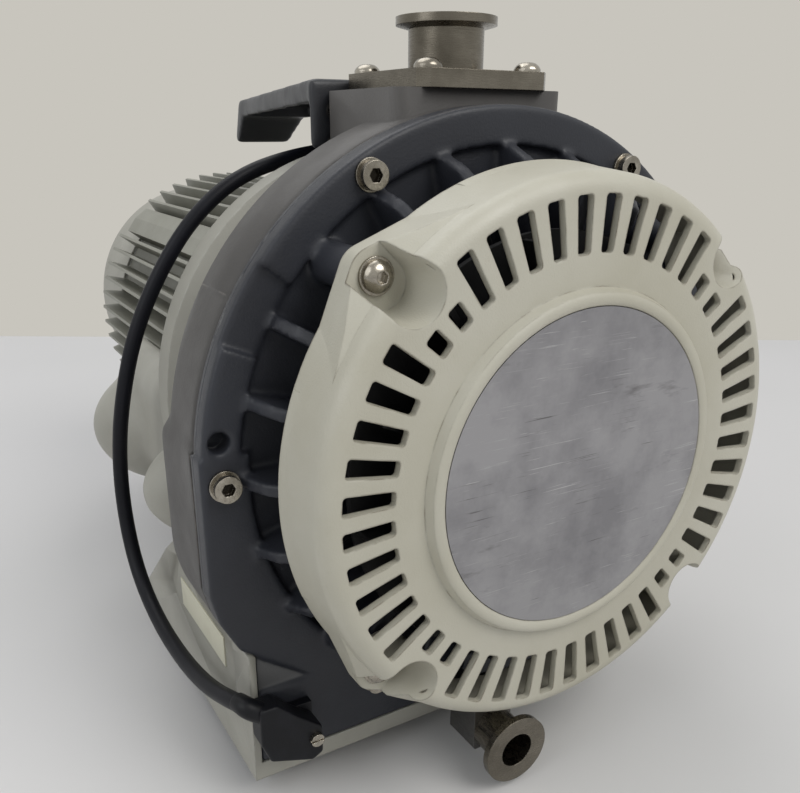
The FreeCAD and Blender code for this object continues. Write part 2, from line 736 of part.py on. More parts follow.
def cooling_fin():
    """A radial fin whose outer end slopes down to the flange."""
    root = FLANGE_FRONT + VALLEY_DEPTH + 1.0
    bend = (FIN_STRAIGHT + FIN_BEND, FIN_FRONT + FIN_BEND)
    points = [(FRONT_HUB_RADIUS - 1.0, FIN_FRONT), (FIN_STRAIGHT, FIN_FRONT), bend, (FIN_REACH, FLANGE_FRONT),
              (FIN_REACH, root), (FRONT_HUB_RADIUS - 1.0, root)]
    corners = [(radius, y, -FIN_THICK / 2) for radius, y in points]
    return Part.Face(outline(corners)).extrude(Vector(0, 0, FIN_THICK))


def rim_notch():
    """A shallow recess in the flange's face that runs out over its rim."""
    ring = pipe(FLANGE_RADIUS + 1.0, VALLEY_RADIUS, FLANGE_FRONT - 1.0, FLANGE_FRONT + NOTCH_DEPTH)
    reach = FLANGE_RADIUS + 30.0
    corners = [(0.0, 0.0)]
    for angle in NOTCH_ANGLES:
        corners.append(polar(reach, angle))
    return ring.common(plate_across(corners, FLANGE_FRONT - 1.0, FLANGE_THICK))


def gallery_path():
    """The middle of the front plate, and the height at which the gallery starts."""
    return FLANGE_FRONT + FRONT_PLATE / 2, -(FRONT_HUB_RADIUS - 3.0)


def exhaust_gallery():
    """From the middle of the scroll set down through a rib of the front plate and out of the foot."""
    plate_middle, port_z = gallery_path()
    down = upright(GALLERY_RADIUS, GALLERY_Z, port_z, EXHAUST_X, plate_middle)
    port = rod(GALLERY_RADIUS, plate_middle, CAVITY_FRONT + 1.0, EXHAUST_X, port_z)
    out = rod(GALLERY_RADIUS, BASE_FRONT - 1.0, plate_middle, EXHAUST_X, GALLERY_Z)
    return [down, port, out]


def front_foot():
    """The foot under the casing, clear of the rear casing's drum."""
    foot = block((BASE_LEFT + BASE_WALL + FIT_GAP, BASE_RIGHT - BASE_WALL - FIT_GAP),
                 (FLANGE_FRONT, FLANGE_FRONT + FOOT_DEPTH), (FLOOR_TOP, LEDGE))
    rear = FLANGE_FRONT + FOOT_DEPTH + 1.0
    casing = rod(FLANGE_RADIUS + FIT_GAP, FLANGE_REAR, rear)
    inside = rod(CAVITY_RADIUS + 1.0, FLANGE_FRONT - 1.0, rear)
    return foot.cut([casing, inside, shoulder(FLANGE_REAR, rear, FIT_GAP)])


def corner_web():
    """A flat web that fills the corner between the lower left shoulder and the foot."""
    web = block((BASE_LEFT + BASE_WALL + FIT_GAP, 0.0), (FLANGE_FRONT + WEB_RECESS, FLANGE_REAR),
                (LEDGE - 1.0, WEB_TOP))
    return web.cut(rod(FLANGE_RADIUS - WEB_OVERLAP, FLANGE_FRONT, FLANGE_REAR + 1.0))


def front_fixed_scroll():
    spigot = FLANGE_RADIUS - JOINT_GROOVE_DEPTH
    valley = FLANGE_FRONT + VALLEY_DEPTH
    body = turned([
        (SMALL_BEARING_RADIUS, FRONT_HUB_FRONT), (FRONT_HUB_RADIUS, FRONT_HUB_FRONT),
        (FRONT_HUB_RADIUS, valley), (VALLEY_RADIUS, valley), (VALLEY_RADIUS, FLANGE_FRONT),
        (FLANGE_RADIUS - FLANGE_CHAMFER, FLANGE_FRONT), (FLANGE_RADIUS, FLANGE_FRONT + FLANGE_CHAMFER),
        (FLANGE_RADIUS, FLANGE_REAR), (spigot, FLANGE_REAR),
        (spigot, CASE_FRONT), (CAVITY_RADIUS, CASE_FRONT), (CAVITY_RADIUS, CAVITY_FRONT),
        (SEAL_RADIUS, CAVITY_FRONT), (SEAL_RADIUS, FRONT_BEARING_REAR),
        (SMALL_BEARING_RADIUS, FRONT_BEARING_REAR)])
    post = rod(POST_RADIUS, POCKET_FLOOR + COVER_WALL, valley + 1.0, COVER_SCREW_CIRCLE)
    fins = ring_of(cooling_fin(), even_angles(FIN_COUNT))
    tip = ORBIT_FRONT - TIP_GAP
    scroll = grooved_wrap(CAVITY_FRONT, tip, tip)
    rib_middle, rib_top = gallery_path()
    rib = upright(GALLERY_RIB, LEDGE - 1.0, rib_top, EXHAUST_X, rib_middle)
    pieces = [body, front_foot(), corner_web(), shoulder(FLANGE_FRONT, FLANGE_REAR), scroll, rib]
    body = joined(pieces + ring_of(post, COVER_SCREW_ANGLES) + fins)
    hub_bore = rod(SMALL_BEARING_RADIUS, FIN_FRONT - 5.0, FRONT_BEARING_REAR)
    screw_hole = rod(CASING_SCREW_RADIUS + HOLE_GAP, FIN_FRONT, CASE_FRONT + 1.0, CASING_SCREW_CIRCLE)
    head_room = rod(CASING_WASHER_RADIUS + SEAT_ROOM, FIN_FRONT - 1.0, FLANGE_FRONT, CASING_SCREW_CIRCLE)
    cover_hole = rod(COVER_SCREW_RADIUS + THREAD_GAP, POCKET_FLOOR, FLANGE_FRONT - 2.0, COVER_SCREW_CIRCLE)
    jack_hole = spun(rod(JACK_HOLE_RADIUS, FLANGE_FRONT - 1.0, FLANGE_REAR + 1.0, JACK_HOLE_CIRCLE), JACK_HOLE_ANGLE)
    cuts = [hub_bore, jack_hole, rim_notch(), standing_room(FIN_FRONT - 1.0, CASE_FRONT + 1.0)]
    cuts += exhaust_gallery() + [plug_hole(BASE_FRONT - 1.0, BASE_FRONT + 6.0)]
    cuts += ring_of(screw_hole, CASING_SCREW_ANGLES) + ring_of(head_room, CASING_SCREW_ANGLES)
    cuts += ring_of(cover_hole, COVER_SCREW_ANGLES)
    return body.cut(cuts)


# Rear fixed scroll

def drum_notch():
    front = DRUM_REAR - DRUM_NOTCH_LENGTH
    corners = [(DRUM_NOTCH_FLOOR, -DRUM_NOTCH_WIDTH / 2), (FLANGE_RADIUS + 5.0, -DRUM_NOTCH_WIDTH / 2),
               (FLANGE_RADIUS + 5.0, DRUM_NOTCH_WIDTH / 2), (DRUM_NOTCH_FLOOR, DRUM_NOTCH_WIDTH / 2)]
    return plate_across(corners, front, DRUM_NOTCH_LENGTH + 1.0)


def drum_profile():
    taper_start = CASE_FRONT + DRUM_STRAIGHT
    taper_end = taper_start + DRUM_TAPER
    return [(FLANGE_RADIUS - DRUM_EDGE, CASE_FRONT), (FLANGE_RADIUS, CASE_FRONT + DRUM_EDGE),
            (FLANGE_RADIUS, taper_start), (DRUM_REAR_RADIUS, taper_end),
            (DRUM_REAR_RADIUS - DRUM_SHOULDER, DRUM_REAR), (SKIRT_RADIUS, DRUM_REAR)]


def rear_shoulder():
    """The lower left shoulder, with its rear end chamfered."""
    shape = shoulder(CASE_FRONT, SHOULDER_REAR)
    rear_edges = [edge for edge in shape.Edges if edge.BoundBox.YMin > SHOULDER_REAR - 0.1
                  and edge.BoundBox.XMax < SHOULDER_TOP - FLANGE_RADIUS]
    return shape.makeChamfer(SHOULDER_TAPER, rear_edges)


def inlet_block():
    shape = block((-BLOCK_HALF_WIDTH, BLOCK_HALF_WIDTH), (BLOCK_FRONT, BLOCK_REAR), (SKIRT_RADIUS, BLOCK_TOP))
    corners = [edge for edge in shape.Edges if runs_along(edge, ALONG_Z)]
    return shape.makeFillet(BLOCK_ROUND, corners)


def rear_fixed_scroll():
    inner = SKIRT_RADIUS - SKIRT_WALL
    body = turned([(CAVITY_RADIUS, CASE_FRONT)] + drum_profile() + [
        (SKIRT_RADIUS, SKIRT_REAR), (inner, SKIRT_REAR), (inner, PLATE_REAR),
        (REAR_HUB_RADIUS, PLATE_REAR), (REAR_HUB_RADIUS, REAR_HUB_REAR),
        (LARGE_BEARING_RADIUS, REAR_HUB_REAR), (LARGE_BEARING_RADIUS, REAR_BEARING_FRONT),
        (REAR_SEAL_RADIUS, REAR_BEARING_FRONT), (REAR_SEAL_RADIUS, CAVITY_REAR), (CAVITY_RADIUS, CAVITY_REAR)])
    bush_front = CAVITY_REAR + IDLER_POCKET
    bush_rear = bush_front + IDLER_BUSH_LENGTH
    boss = rod(IDLER_BOSS_RADIUS, PLATE_REAR - 1.0, bush_rear + IDLER_BOSS_END, IDLER_CIRCLE)
    tip = ORBIT_REAR + TIP_GAP
    scroll = grooved_wrap(tip, CAVITY_REAR, tip)
    body = joined([body, inlet_block(), scroll, rear_shoulder()] + ring_of(boss, IDLER_ANGLES))
    thread = rod(CASING_SCREW_RADIUS + THREAD_GAP, CASE_FRONT - 1.0,
                 FLANGE_FRONT + CASING_SCREW_LENGTH + 2.0, CASING_SCREW_CIRCLE)
    pocket = rod(IDLER_WEB_RADIUS + FIT_GAP, CAVITY_REAR - 1.0, bush_front, IDLER_CIRCLE)
    bush_bore = rod(IDLER_BUSH_RADIUS, bush_front, bush_rear, IDLER_CIRCLE)
    groove = pipe(SEAL_RING_RADIUS + SEAL_RING_WIDTH / 2, SEAL_RING_RADIUS - SEAL_RING_WIDTH / 2,
                  CASE_FRONT - 1.0, CASE_FRONT + SEAL_RING_DEPTH)
    inlet = upright(CASING_BORE_RADIUS, CAVITY_RADIUS - 12.0, BLOCK_TOP + 1.0, 0.0, INLET_Y)
    inlet = inlet.cut(rod(CAVITY_RADIUS - 14.0, CASE_FRONT, DRUM_REAR))
    notch_angles = [angle for angle in even_angles(DRUM_NOTCHES, 10.0) if abs(angle - 90.0) > 25.0]
    cuts = [groove, inlet.common(rod(BLOCK_TOP + 20.0, CASE_FRONT, CAVITY_REAR))]
    cuts.append(upright(CASING_BORE_RADIUS, CAVITY_RADIUS, BLOCK_TOP + 1.0, 0.0, INLET_Y))
    cuts += ring_of(thread, CASING_SCREW_ANGLES) + ring_of(pocket, IDLER_ANGLES)
    cuts += ring_of(bush_bore, IDLER_ANGLES) + ring_of(drum_notch(), notch_angles)
    cuts += inlet_screw_holes() + handle_screw_holes()
    cuts += [screen_seat(), standing_room(CASE_FRONT - 1.0, DRUM_REAR + 1.0)]
    return body.cut(cuts)


def casing_seal():
    half = SEAL_RING_WIDTH / 2 - THREAD_GAP
    return pipe(SEAL_RING_RADIUS + half, SEAL_RING_RADIUS - half, CASE_FRONT, CASE_FRONT + SEAL_RING_DEPTH)


def casing_screws():
    screw = socket_screw(CASING_HEAD_RADIUS, CASING_HEAD_HEIGHT, CASING_SCREW_RADIUS, CASING_SCREW_LENGTH)
    screw = shifted(screw, CASING_SCREW_CIRCLE, FLANGE_FRONT - CASING_WASHER_THICK, 0.0)
    return ring_of(screw, CASING_SCREW_ANGLES)


def casing_washers():
    ring = washer(CASING_WASHER_RADIUS, CASING_SCREW_RADIUS + THREAD_GAP, CASING_WASHER_THICK)
    return ring_of(shifted(ring, CASING_SCREW_CIRCLE, FLANGE_FRONT, 0.0), CASING_SCREW_ANGLES)


# Fan cover and name plate

def cover_shell():
    lip_inner = PLATE_RADIUS + FIT_GAP
    lip_outer = lip_inner + PLATE_LIP_WIDTH
    lip_middle = (lip_inner + lip_outer) / 2
    corner = COVER_ROUND * (1 - math.sqrt(0.5))
    inner_round = COVER_ROUND - COVER_WALL
    inner_corner = inner_round * (1 - math.sqrt(0.5))
    inner = COVER_RADIUS - COVER_WALL
    return turned([
        (0.0, COVER_CENTRE_FRONT), (lip_inner, COVER_CENTRE_FRONT), (lip_inner, PLATE_FRONT),
        ((lip_middle, LIP_FRONT), (lip_outer, PLATE_FRONT)), (lip_outer + 1.5, 0.0),
        (COVER_RADIUS - COVER_ROUND, 0.0),
        ((COVER_RADIUS - corner, corner), (COVER_RADIUS, COVER_ROUND)),
        (COVER_REAR_RADIUS, COVER_REAR), (COVER_REAR_RADIUS - COVER_WALL, COVER_REAR),
        (inner, COVER_ROUND),
        ((inner - inner_corner, COVER_WALL + inner_corner), (inner - inner_round, COVER_WALL)),
        (0.0, COVER_WALL)])


def cover_slots():
    depth = COVER_WALL + 2.0
    full = radial_slot(SLOT_INNER, SLOT_OUTER, SLOT_INNER_WIDTH, SLOT_OUTER_WIDTH, SLOT_ROUND, -1.0, depth)
    short_width = SLOT_INNER_WIDTH + (SLOT_OUTER_WIDTH - SLOT_INNER_WIDTH) * (
        (SLOT_SHORT_OUTER - SLOT_INNER) / (SLOT_OUTER - SLOT_INNER))
    short = radial_slot(SLOT_INNER, SLOT_SHORT_OUTER, SLOT_INNER_WIDTH, short_width, SLOT_ROUND, -1.0, depth)
    pitch = 360.0 / SLOT_COUNT
    slots = []
    for angle in even_angles(SLOT_COUNT, pitch / 2):
        beside_pocket = any(abs(angle - place) < pitch for place in COVER_SCREW_ANGLES)
        slots.append(spun(short if beside_pocket else full, angle))
    return slots


def pocket_scoop(grow, front, rear):
    """The screw pocket: a cone that narrows to its floor, open outwards. grow adds its wall."""
    length = POCKET_FLOOR - LIP_FRONT
    front_half = POCKET_RADIUS + grow
    rear_half = POCKET_FLOOR_RADIUS + grow
    cone = Part.makeCone(front_half, rear_half, length, Vector(POCKET_CIRCLE, LIP_FRONT, 0), ALONG_Y)
    reach = COVER_SCREW_CIRCLE + EAR_RADIUS + 5.0
    corners = [(POCKET_CIRCLE, LIP_FRONT, -front_half), (POCKET_CIRCLE, POCKET_FLOOR, -rear_half),
               (POCKET_CIRCLE, POCKET_FLOOR, rear_half), (POCKET_CIRCLE, LIP_FRONT, front_half)]
    opening = Part.Face(outline(corners)).extrude(Vector(reach - POCKET_CIRCLE, 0, 0))
    return joined([cone, opening]).common(block((0.0, reach), (front, rear), (-front_half, front_half)))


def cover_ear():
    """The screw's boss, which runs into the cover's side along tangents and slopes to its front."""
    boss = rod(EAR_RADIUS, POCKET_FLOOR, COVER_REAR, COVER_SCREW_CIRCLE)
    angle = math.degrees(math.acos((COVER_RADIUS - EAR_RADIUS) / COVER_SCREW_CIRCLE))
    side_x, side_z = polar(COVER_RADIUS, angle)
    tip_x, tip_z = polar(EAR_RADIUS, angle)
    tip_x += COVER_SCREW_CIRCLE
    wedge = plate_across([(side_x, -side_z), (tip_x, -tip_z), (tip_x, tip_z), (side_x, side_z)],
                         COVER_ROUND, COVER_REAR - COVER_ROUND)
    reach = COVER_SCREW_CIRCLE + EAR_RADIUS
    slope = turned([(0.0, COVER_ROUND), (COVER_RADIUS - 1.0, COVER_ROUND), (reach, POCKET_FLOOR),
                    (reach, COVER_REAR), (0.0, COVER_REAR)])
    wedge = wedge.common(slope).cut(rod(COVER_RADIUS - COVER_WALL, 0.0, COVER_REAR + 1.0))
    return joined([boss, wedge])


def fan_cover():
    inner = COVER_RADIUS - COVER_WALL / 2
    wall = pocket_scoop(POCKET_WALL, COVER_WALL / 2, POCKET_FLOOR)
    floor = rod(POCKET_FLOOR_RADIUS + POCKET_WALL, POCKET_FLOOR, POCKET_FLOOR + COVER_WALL, POCKET_CIRCLE)
    wall = joined([wall, floor]).common(turned([(0.0, COVER_WALL / 2), (inner - COVER_ROUND, COVER_WALL / 2),
                                                (inner, COVER_ROUND), (inner, COVER_REAR), (0.0, COVER_REAR)]))
    behind = rod(POCKET_FLOOR_RADIUS + POCKET_WALL + 1.0, POCKET_FLOOR + COVER_WALL, COVER_REAR + 1.0, POCKET_CIRCLE)
    behind = behind.common(rod(COVER_RADIUS - COVER_WALL, 0.0, COVER_REAR + 1.0))
    ear_back = rod(POST_RADIUS + FIT_GAP, POCKET_FLOOR + COVER_WALL, COVER_REAR + 1.0, COVER_SCREW_CIRCLE)
    scoop = pocket_scoop(0.0, LIP_FRONT, POCKET_FLOOR)
    hole = rod(COVER_SCREW_RADIUS + HOLE_GAP, 0.0, COVER_REAR, COVER_SCREW_CIRCLE)
    pieces = ring_of(wall, COVER_SCREW_ANGLES) + ring_of(cover_ear(), COVER_SCREW_ANGLES)
    body = joined([cover_shell()] + pieces)
    cuts = cover_slots()
    for tool in (behind, ear_back, scoop, hole):
        cuts += ring_of(tool, COVER_SCREW_ANGLES)
    return body.cut(cuts)


def cover_screws():
    screw = button_screw(COVER_HEAD_RADIUS, COVER_HEAD_HEIGHT, COVER_SCREW_RADIUS, COVER_SCREW_LENGTH)
    screw = shifted(screw, COVER_SCREW_CIRCLE, POCKET_FLOOR - COVER_WASHER_THICK, 0.0)
    return ring_of(screw, COVER_SCREW_ANGLES)


def cover_washers():
    ring = washer(COVER_WASHER_RADIUS, COVER_SCREW_RADIUS + THREAD_GAP, COVER_WASHER_THICK)
    return ring_of(shifted(ring, COVER_SCREW_CIRCLE, POCKET_FLOOR, 0.0), COVER_SCREW_ANGLES)


def name_plate():
    return rod(PLATE_RADIUS, PLATE_FRONT, COVER_CENTRE_FRONT)


# Crankshaft group

def crankshaft():
    shoulder = ECCENTRIC_REAR + 2.0
    main = turned([(0.0, SHAFT_FRONT), (SHAFT_RADIUS, SHAFT_FRONT), (SHAFT_RADIUS, ECCENTRIC_FRONT),
                   (SHAFT_RADIUS, shoulder), (MOTOR_SHAFT_RADIUS, shoulder),
                   (MOTOR_SHAFT_RADIUS, MOTOR_BEARING_FRONT), (SHAFT_RADIUS, MOTOR_BEARING_FRONT),
                   (SHAFT_RADIUS, SHAFT_REAR), (0.0, SHAFT_REAR)])
    return joined([main, rod(ECCENTRIC_RADIUS, ECCENTRIC_FRONT, ECCENTRIC_REAR, ORBIT)])


def half_weight(radius, bore, front, thick):
    """A half disc on the side away from the eccentric, with a full ring round the shaft."""
    half = rod(radius, front, front + thick)
    half = half.common(block((-radius, 0.0), (front, front + thick), (-radius, radius)))
    collar = rod(bore + 5.0, front, front + thick)
    return joined([half, collar]).cut(rod(bore, front - 1.0, front + thick + 1.0))


def front_counterweight():
    return half_weight(FRONT_WEIGHT_RADIUS, SHAFT_RADIUS, FRONT_WEIGHT_PLACE, FRONT_WEIGHT_THICK)


def rear_counterweight():
    front = REAR_HUB_REAR + REAR_WEIGHT_GAP
    return half_weight(REAR_WEIGHT_RADIUS, MOTOR_SHAFT_RADIUS, front, REAR_WEIGHT_THICK)


def bladed_fan(radius, hub_radius, bore, front, disc_front, rear, blades):
    disc = rod(radius, disc_front, disc_front + FAN_DISC_THICK)
    hub = rod(hub_radius, front, rear)
    blade = block((hub_radius - 1.0, radius), (front, disc_front + 1.0), (-BLADE_THICK / 2, BLADE_THICK / 2))
    blade.rotate(Vector(hub_radius, 0, 0), ALONG_Y, 25.0)
    blade = blade.common(rod(radius, front, rear))
    return joined([disc, hub] + ring_of(blade, even_angles(blades))).cut(rod(bore, front - 1.0, rear + 1.0))


def front_fan():
    rear = FAN_DISC_PLACE + FAN_DISC_THICK
    return bladed_fan(FAN_RADIUS, FAN_HUB_RADIUS, SHAFT_RADIUS, FAN_FRONT, FAN_DISC_PLACE, rear, FAN_BLADES)


def rear_fan():
    rear = REAR_FAN_FRONT + REAR_FAN_LENGTH
    return bladed_fan(REAR_FAN_RADIUS, FAN_HUB_RADIUS, SHAFT_RADIUS, REAR_FAN_FRONT, rear - FAN_DISC_THICK,
                      rear, REAR_FAN_BLADES)


def fan_nut():
    nut = hexagon_hole(NUT_RADIUS, FAN_FRONT - NUT_HEIGHT, NUT_HEIGHT)
    return nut.cut(rod(SHAFT_RADIUS, FAN_FRONT - NUT_HEIGHT - 1.0, FAN_FRONT + 1.0))


def motor_rotor():
    return pipe(STATOR_INNER - ROTOR_GAP, MOTOR_SHAFT_RADIUS, STATOR_FRONT, STATOR_REAR)


def shaft_seals():
    front = FRONT_BEARING_REAR + 1.0
    rear = CAVITY_REAR + 1.0
    return [pipe(SEAL_RADIUS, SHAFT_RADIUS + JOURNAL_GAP, front, front + SEAL_LENGTH),
            pipe(REAR_SEAL_RADIUS, MOTOR_SHAFT_RADIUS + JOURNAL_GAP, rear, rear + SEAL_LENGTH)]


# Motor

def adapter_solid():
    inner = SKIRT_RADIUS - SKIRT_WALL
    return turned([
        (inner, SKIRT_REAR), (SKIRT_RADIUS + 2.0, SKIRT_REAR), (RING_RADIUS, RING_FRONT),
        (RING_RADIUS, RING_REAR - 2.0), (RING_RADIUS - 2.0, RING_REAR), (RING_RADIUS - 8.0, RING_REAR),
        (FRAME_ROOT + 6.0, MOTOR_FRONT), (ADAPTER_PLATE_INNER, MOTOR_FRONT),
        (ADAPTER_PLATE_INNER, RING_REAR - ADAPTER_WALL / 2), (inner, RING_REAR - ADAPTER_WALL / 2)])


def motor_frame():
    """The round frame with its fins in four groups between four smooth pads."""
    points = []
    for quarter in range(4):
        middle = 90.0 * quarter
        first = middle - MOTOR_FIN_PITCH * (MOTOR_FINS_PER_SIDE - 1) / 2
        for fin in range(MOTOR_FINS_PER_SIDE):
            angle = first + fin * MOTOR_FIN_PITCH
            root_half = math.degrees(MOTOR_FIN_ROOT_HALF / FRAME_ROOT)
            tip_half = math.degrees(MOTOR_FIN_TIP_HALF / MOTOR_FIN_TIP)
            points.append(polar(FRAME_ROOT, angle - root_half))
            points.append(polar(MOTOR_FIN_TIP, angle - tip_half))
            points.append(polar(MOTOR_FIN_TIP, angle + tip_half))
            points.append(polar(FRAME_ROOT, angle + root_half))
        pad_half = math.degrees(MOTOR_PAD_HALF / MOTOR_PAD_RADIUS)
        points.append(polar(FRAME_ROOT, middle + 45.0 - pad_half))
        points.append(polar(MOTOR_PAD_RADIUS, middle + 45.0 - pad_half))
        points.append(polar(MOTOR_PAD_RADIUS + 1.0, middle + 45.0))
        points.append(polar(MOTOR_PAD_RADIUS, middle + 45.0 + pad_half))
        points.append(polar(FRAME_ROOT, middle + 45.0 + pad_half))
    body = plate_across(points, MOTOR_FRONT, MOTOR_REAR - MOTOR_FRONT)
    inset = BOX_PEDESTAL_INSET
    pedestal = block((FRAME_INNER, BOX_INNER_X), (BOX_FRONT + inset, BOX_REAR - inset),
                     (BOX_BOTTOM + inset, BOX_TOP - inset))
    return joined([body, pedestal]).cut(rod(FRAME_INNER, MOTOR_FRONT - 1.0, MOTOR_REAR + 1.0))


def stator_core():
    return pipe(FRAME_INNER, STATOR_INNER, STATOR_FRONT, STATOR_REAR)


def stator_windings():
    outer = FRAME_INNER - WINDING_WALL_GAP
    inner = STATOR_INNER + 1.0
    return [pipe(outer, inner, STATOR_FRONT - WINDING_LENGTH, STATOR_FRONT),
            pipe(outer, inner, STATOR_REAR, STATOR_REAR + WINDING_LENGTH)]


def rear_end_bell():
    rear = MOTOR_REAR + END_BELL_THICK
    bearing_rear = MOTOR_BEARING_FRONT + BEARING_WIDTH
    body = turned([
        (FRAME_INNER - 4.0, MOTOR_REAR - 6.0), (FRAME_INNER, MOTOR_REAR - 6.0), (FRAME_INNER, MOTOR_REAR),
        (COWL_RADIUS - COWL_WALL, MOTOR_REAR), (COWL_RADIUS - COWL_WALL, rear), (SHAFT_RADIUS + 2.0, rear),
        (SHAFT_RADIUS + 2.0, bearing_rear), (SMALL_BEARING_RADIUS, bearing_rear),
        (SMALL_BEARING_RADIUS, MOTOR_BEARING_FRONT), (END_BELL_HUB_RADIUS, MOTOR_BEARING_FRONT),
        (END_BELL_HUB_RADIUS, MOTOR_REAR), (FRAME_INNER - 4.0, MOTOR_REAR)])
    return body.cut(cowl_screw_rods(COWL_SCREW_RADIUS + THREAD_GAP))


def cowl_screw_rods(radius):
    place = MOTOR_REAR + END_BELL_THICK / 2
    one = sideways(radius, COWL_RADIUS - 10.0, COWL_RADIUS + 1.0, place, 0.0)
    return ring_of(one, COVER_SCREW_ANGLES)


def cowl_screws():
    place = MOTOR_REAR + END_BELL_THICK / 2
    shank = sideways(COWL_SCREW_RADIUS, COWL_RADIUS - 9.0, COWL_RADIUS + 0.5, place, 0.0)
    head = sideways(COWL_SCREW_HEAD, COWL_RADIUS, COWL_RADIUS + 2.0, place, 0.0)
    slot = block((COWL_RADIUS + 1.0, COWL_RADIUS + 3.0), (place - 0.5, place + 0.5),
                 (-COWL_SCREW_HEAD, COWL_SCREW_HEAD))
    return ring_of(joined([shank, head]).cut(slot), COVER_SCREW_ANGLES)


def motor_cowl():
    inner = COWL_RADIUS - COWL_WALL
    body = turned([
        (inner, MOTOR_REAR), (COWL_RADIUS, MOTOR_REAR), (COWL_RADIUS, PUMP_REAR - 5.0),
        ((COWL_RADIUS - 1.5, PUMP_REAR - 1.5), (COWL_RADIUS - 5.0, PUMP_REAR)), (0.0, PUMP_REAR),
        (0.0, PUMP_REAR - COWL_WALL), (COWL_RADIUS - 6.0, PUMP_REAR - COWL_WALL), (inner, PUMP_REAR - 6.0)])
    slot = radial_slot(COWL_SLOT_INNER, COWL_SLOT_OUTER, COWL_SLOT_WIDTH, COWL_SLOT_WIDTH, COWL_SLOT_WIDTH * 0.3,
                       PUMP_REAR - COWL_WALL - 1.0, COWL_WALL + 2.0)
    holes = cowl_screw_rods(COWL_SCREW_RADIUS + THREAD_GAP)
    place = MOTOR_REAR + END_BELL_THICK / 2
    flat = sideways(COWL_SCREW_HEAD + FIT_GAP, COWL_RADIUS, COWL_RADIUS + 3.0, place, 0.0)
    return body.cut(ring_of(slot, even_angles(COWL_SLOTS)) + holes + ring_of(flat, COVER_SCREW_ANGLES))


# Terminal box

def box_screw_places():
    inset = BOX_WALL + 3.0
    return [(y, z) for y in (BOX_FRONT + inset, BOX_REAR - inset) for z in (BOX_BOTTOM + inset, BOX_TOP - inset)]


def terminal_box():
    outer_x = BOX_INNER_X + BOX_DEPTH
    body = block((BOX_INNER_X, outer_x), (BOX_FRONT, BOX_REAR), (BOX_BOTTOM, BOX_TOP))
    body = rounded_along(body, BOX_WALL, ALONG_X)
    hollow = block((BOX_INNER_X + BOX_WALL, outer_x + 1.0), (BOX_FRONT + BOX_WALL, BOX_REAR - BOX_WALL),
                   (BOX_BOTTOM + BOX_WALL, BOX_TOP - BOX_WALL))
    pillars = [sideways(BOX_WALL + 1.0, BOX_INNER_X + 1.0, outer_x, y, z) for y, z in box_screw_places()]
    body = joined([body.cut(hollow)] + pillars)
    holes = [sideways(BOX_SCREW_RADIUS + THREAD_GAP, outer_x - 12.0, outer_x + 1.0, y, z)
             for y, z in box_screw_places()]
    holes.append(upright(LEAD_RADIUS + FIT_GAP, BOX_TOP - BOX_WALL - 1.0, BOX_TOP + 1.0, gland_x(), GLAND_Y))
    holes.append(rod(MAINS_BORE_RADIUS + 1.0, BOX_REAR - BOX_WALL - 1.0, BOX_REAR + 1.0, gland_x(), mains_z()))
    return body.cut(holes)


def gland_x():
    return BOX_INNER_X + BOX_DEPTH / 2 - 1.0


def mains_z():
    return (BOX_BOTTOM + BOX_TOP) / 2


def terminal_lid():
    left = BOX_INNER_X + BOX_DEPTH
    lid = block((left, left + LID_THICK), (BOX_FRONT, BOX_REAR), (BOX_BOTTOM, BOX_TOP))
    lid = rounded_along(lid, BOX_WALL, ALONG_X)
    holes = [sideways(BOX_SCREW_RADIUS + THREAD_GAP, left - 1.0, left + LID_THICK + 1.0, y, z)
             for y, z in box_screw_places()]
    return lid.cut(holes)


def terminal_screws():
    face = BOX_INNER_X + BOX_DEPTH + LID_THICK
    screws = []
    for y, z in box_screw_places():
        head = sideways(BOX_SCREW_HEAD, face, face + 2.0, y, z)
        slot = block((face + 1.0, face + 3.0), (y - 0.5, y + 0.5), (z - BOX_SCREW_HEAD, z + BOX_SCREW_HEAD))
        shank = sideways(BOX_SCREW_RADIUS, face - LID_THICK - 10.0, face, y, z)
        screws.append(joined([head, shank]).cut(slot))
    return screws


def hex_nut_up(radius, bottom, height, x, y):
    return shifted(pointing_down(hexagon_hole(radius, -height, height)), x, y, bottom)


def lead_gland():
    """Stands on the box; the lead ends on its top face."""
    nut_height = GLAND_LENGTH * 0.45
    nut = hex_nut_up(GLAND_RADIUS + 1.0, BOX_TOP, nut_height, gland_x(), GLAND_Y)
    dome = Part.makeCone(GLAND_RADIUS, LEAD_RADIUS + 1.0, GLAND_LENGTH - nut_height,
                         Vector(gland_x(), GLAND_Y, BOX_TOP + nut_height), ALONG_Z)
    return joined([nut, dome])


def mains_gland():
    """The supply lead's inlet, with an empty bore."""
    nut = shifted(hexagon_hole(MAINS_GLAND_RADIUS + 1.5, 0.0, MAINS_GLAND_LENGTH / 2), gland_x(), BOX_REAR, mains_z())
    cap = Part.makeCone(MAINS_GLAND_RADIUS, MAINS_BORE_RADIUS + 2.0, MAINS_GLAND_LENGTH / 2,
                        Vector(gland_x(), BOX_REAR + MAINS_GLAND_LENGTH / 2, mains_z()), ALONG_Y)
    return joined([nut, cap]).cut(rod(MAINS_BORE_RADIUS, BOX_REAR - 1.0, BOX_REAR + MAINS_GLAND_LENGTH + 1.0,
                                      gland_x(), mains_z()))


# Base and feet

def wall_along(left, right, corners):
    """A wall along the base from (y, z) corners, with y counted from the base's front."""
    points = [(left, BASE_FRONT + y, z) for y, z in corners]
    return Part.Face(outline(points)).extrude(Vector(right - left, 0, 0))


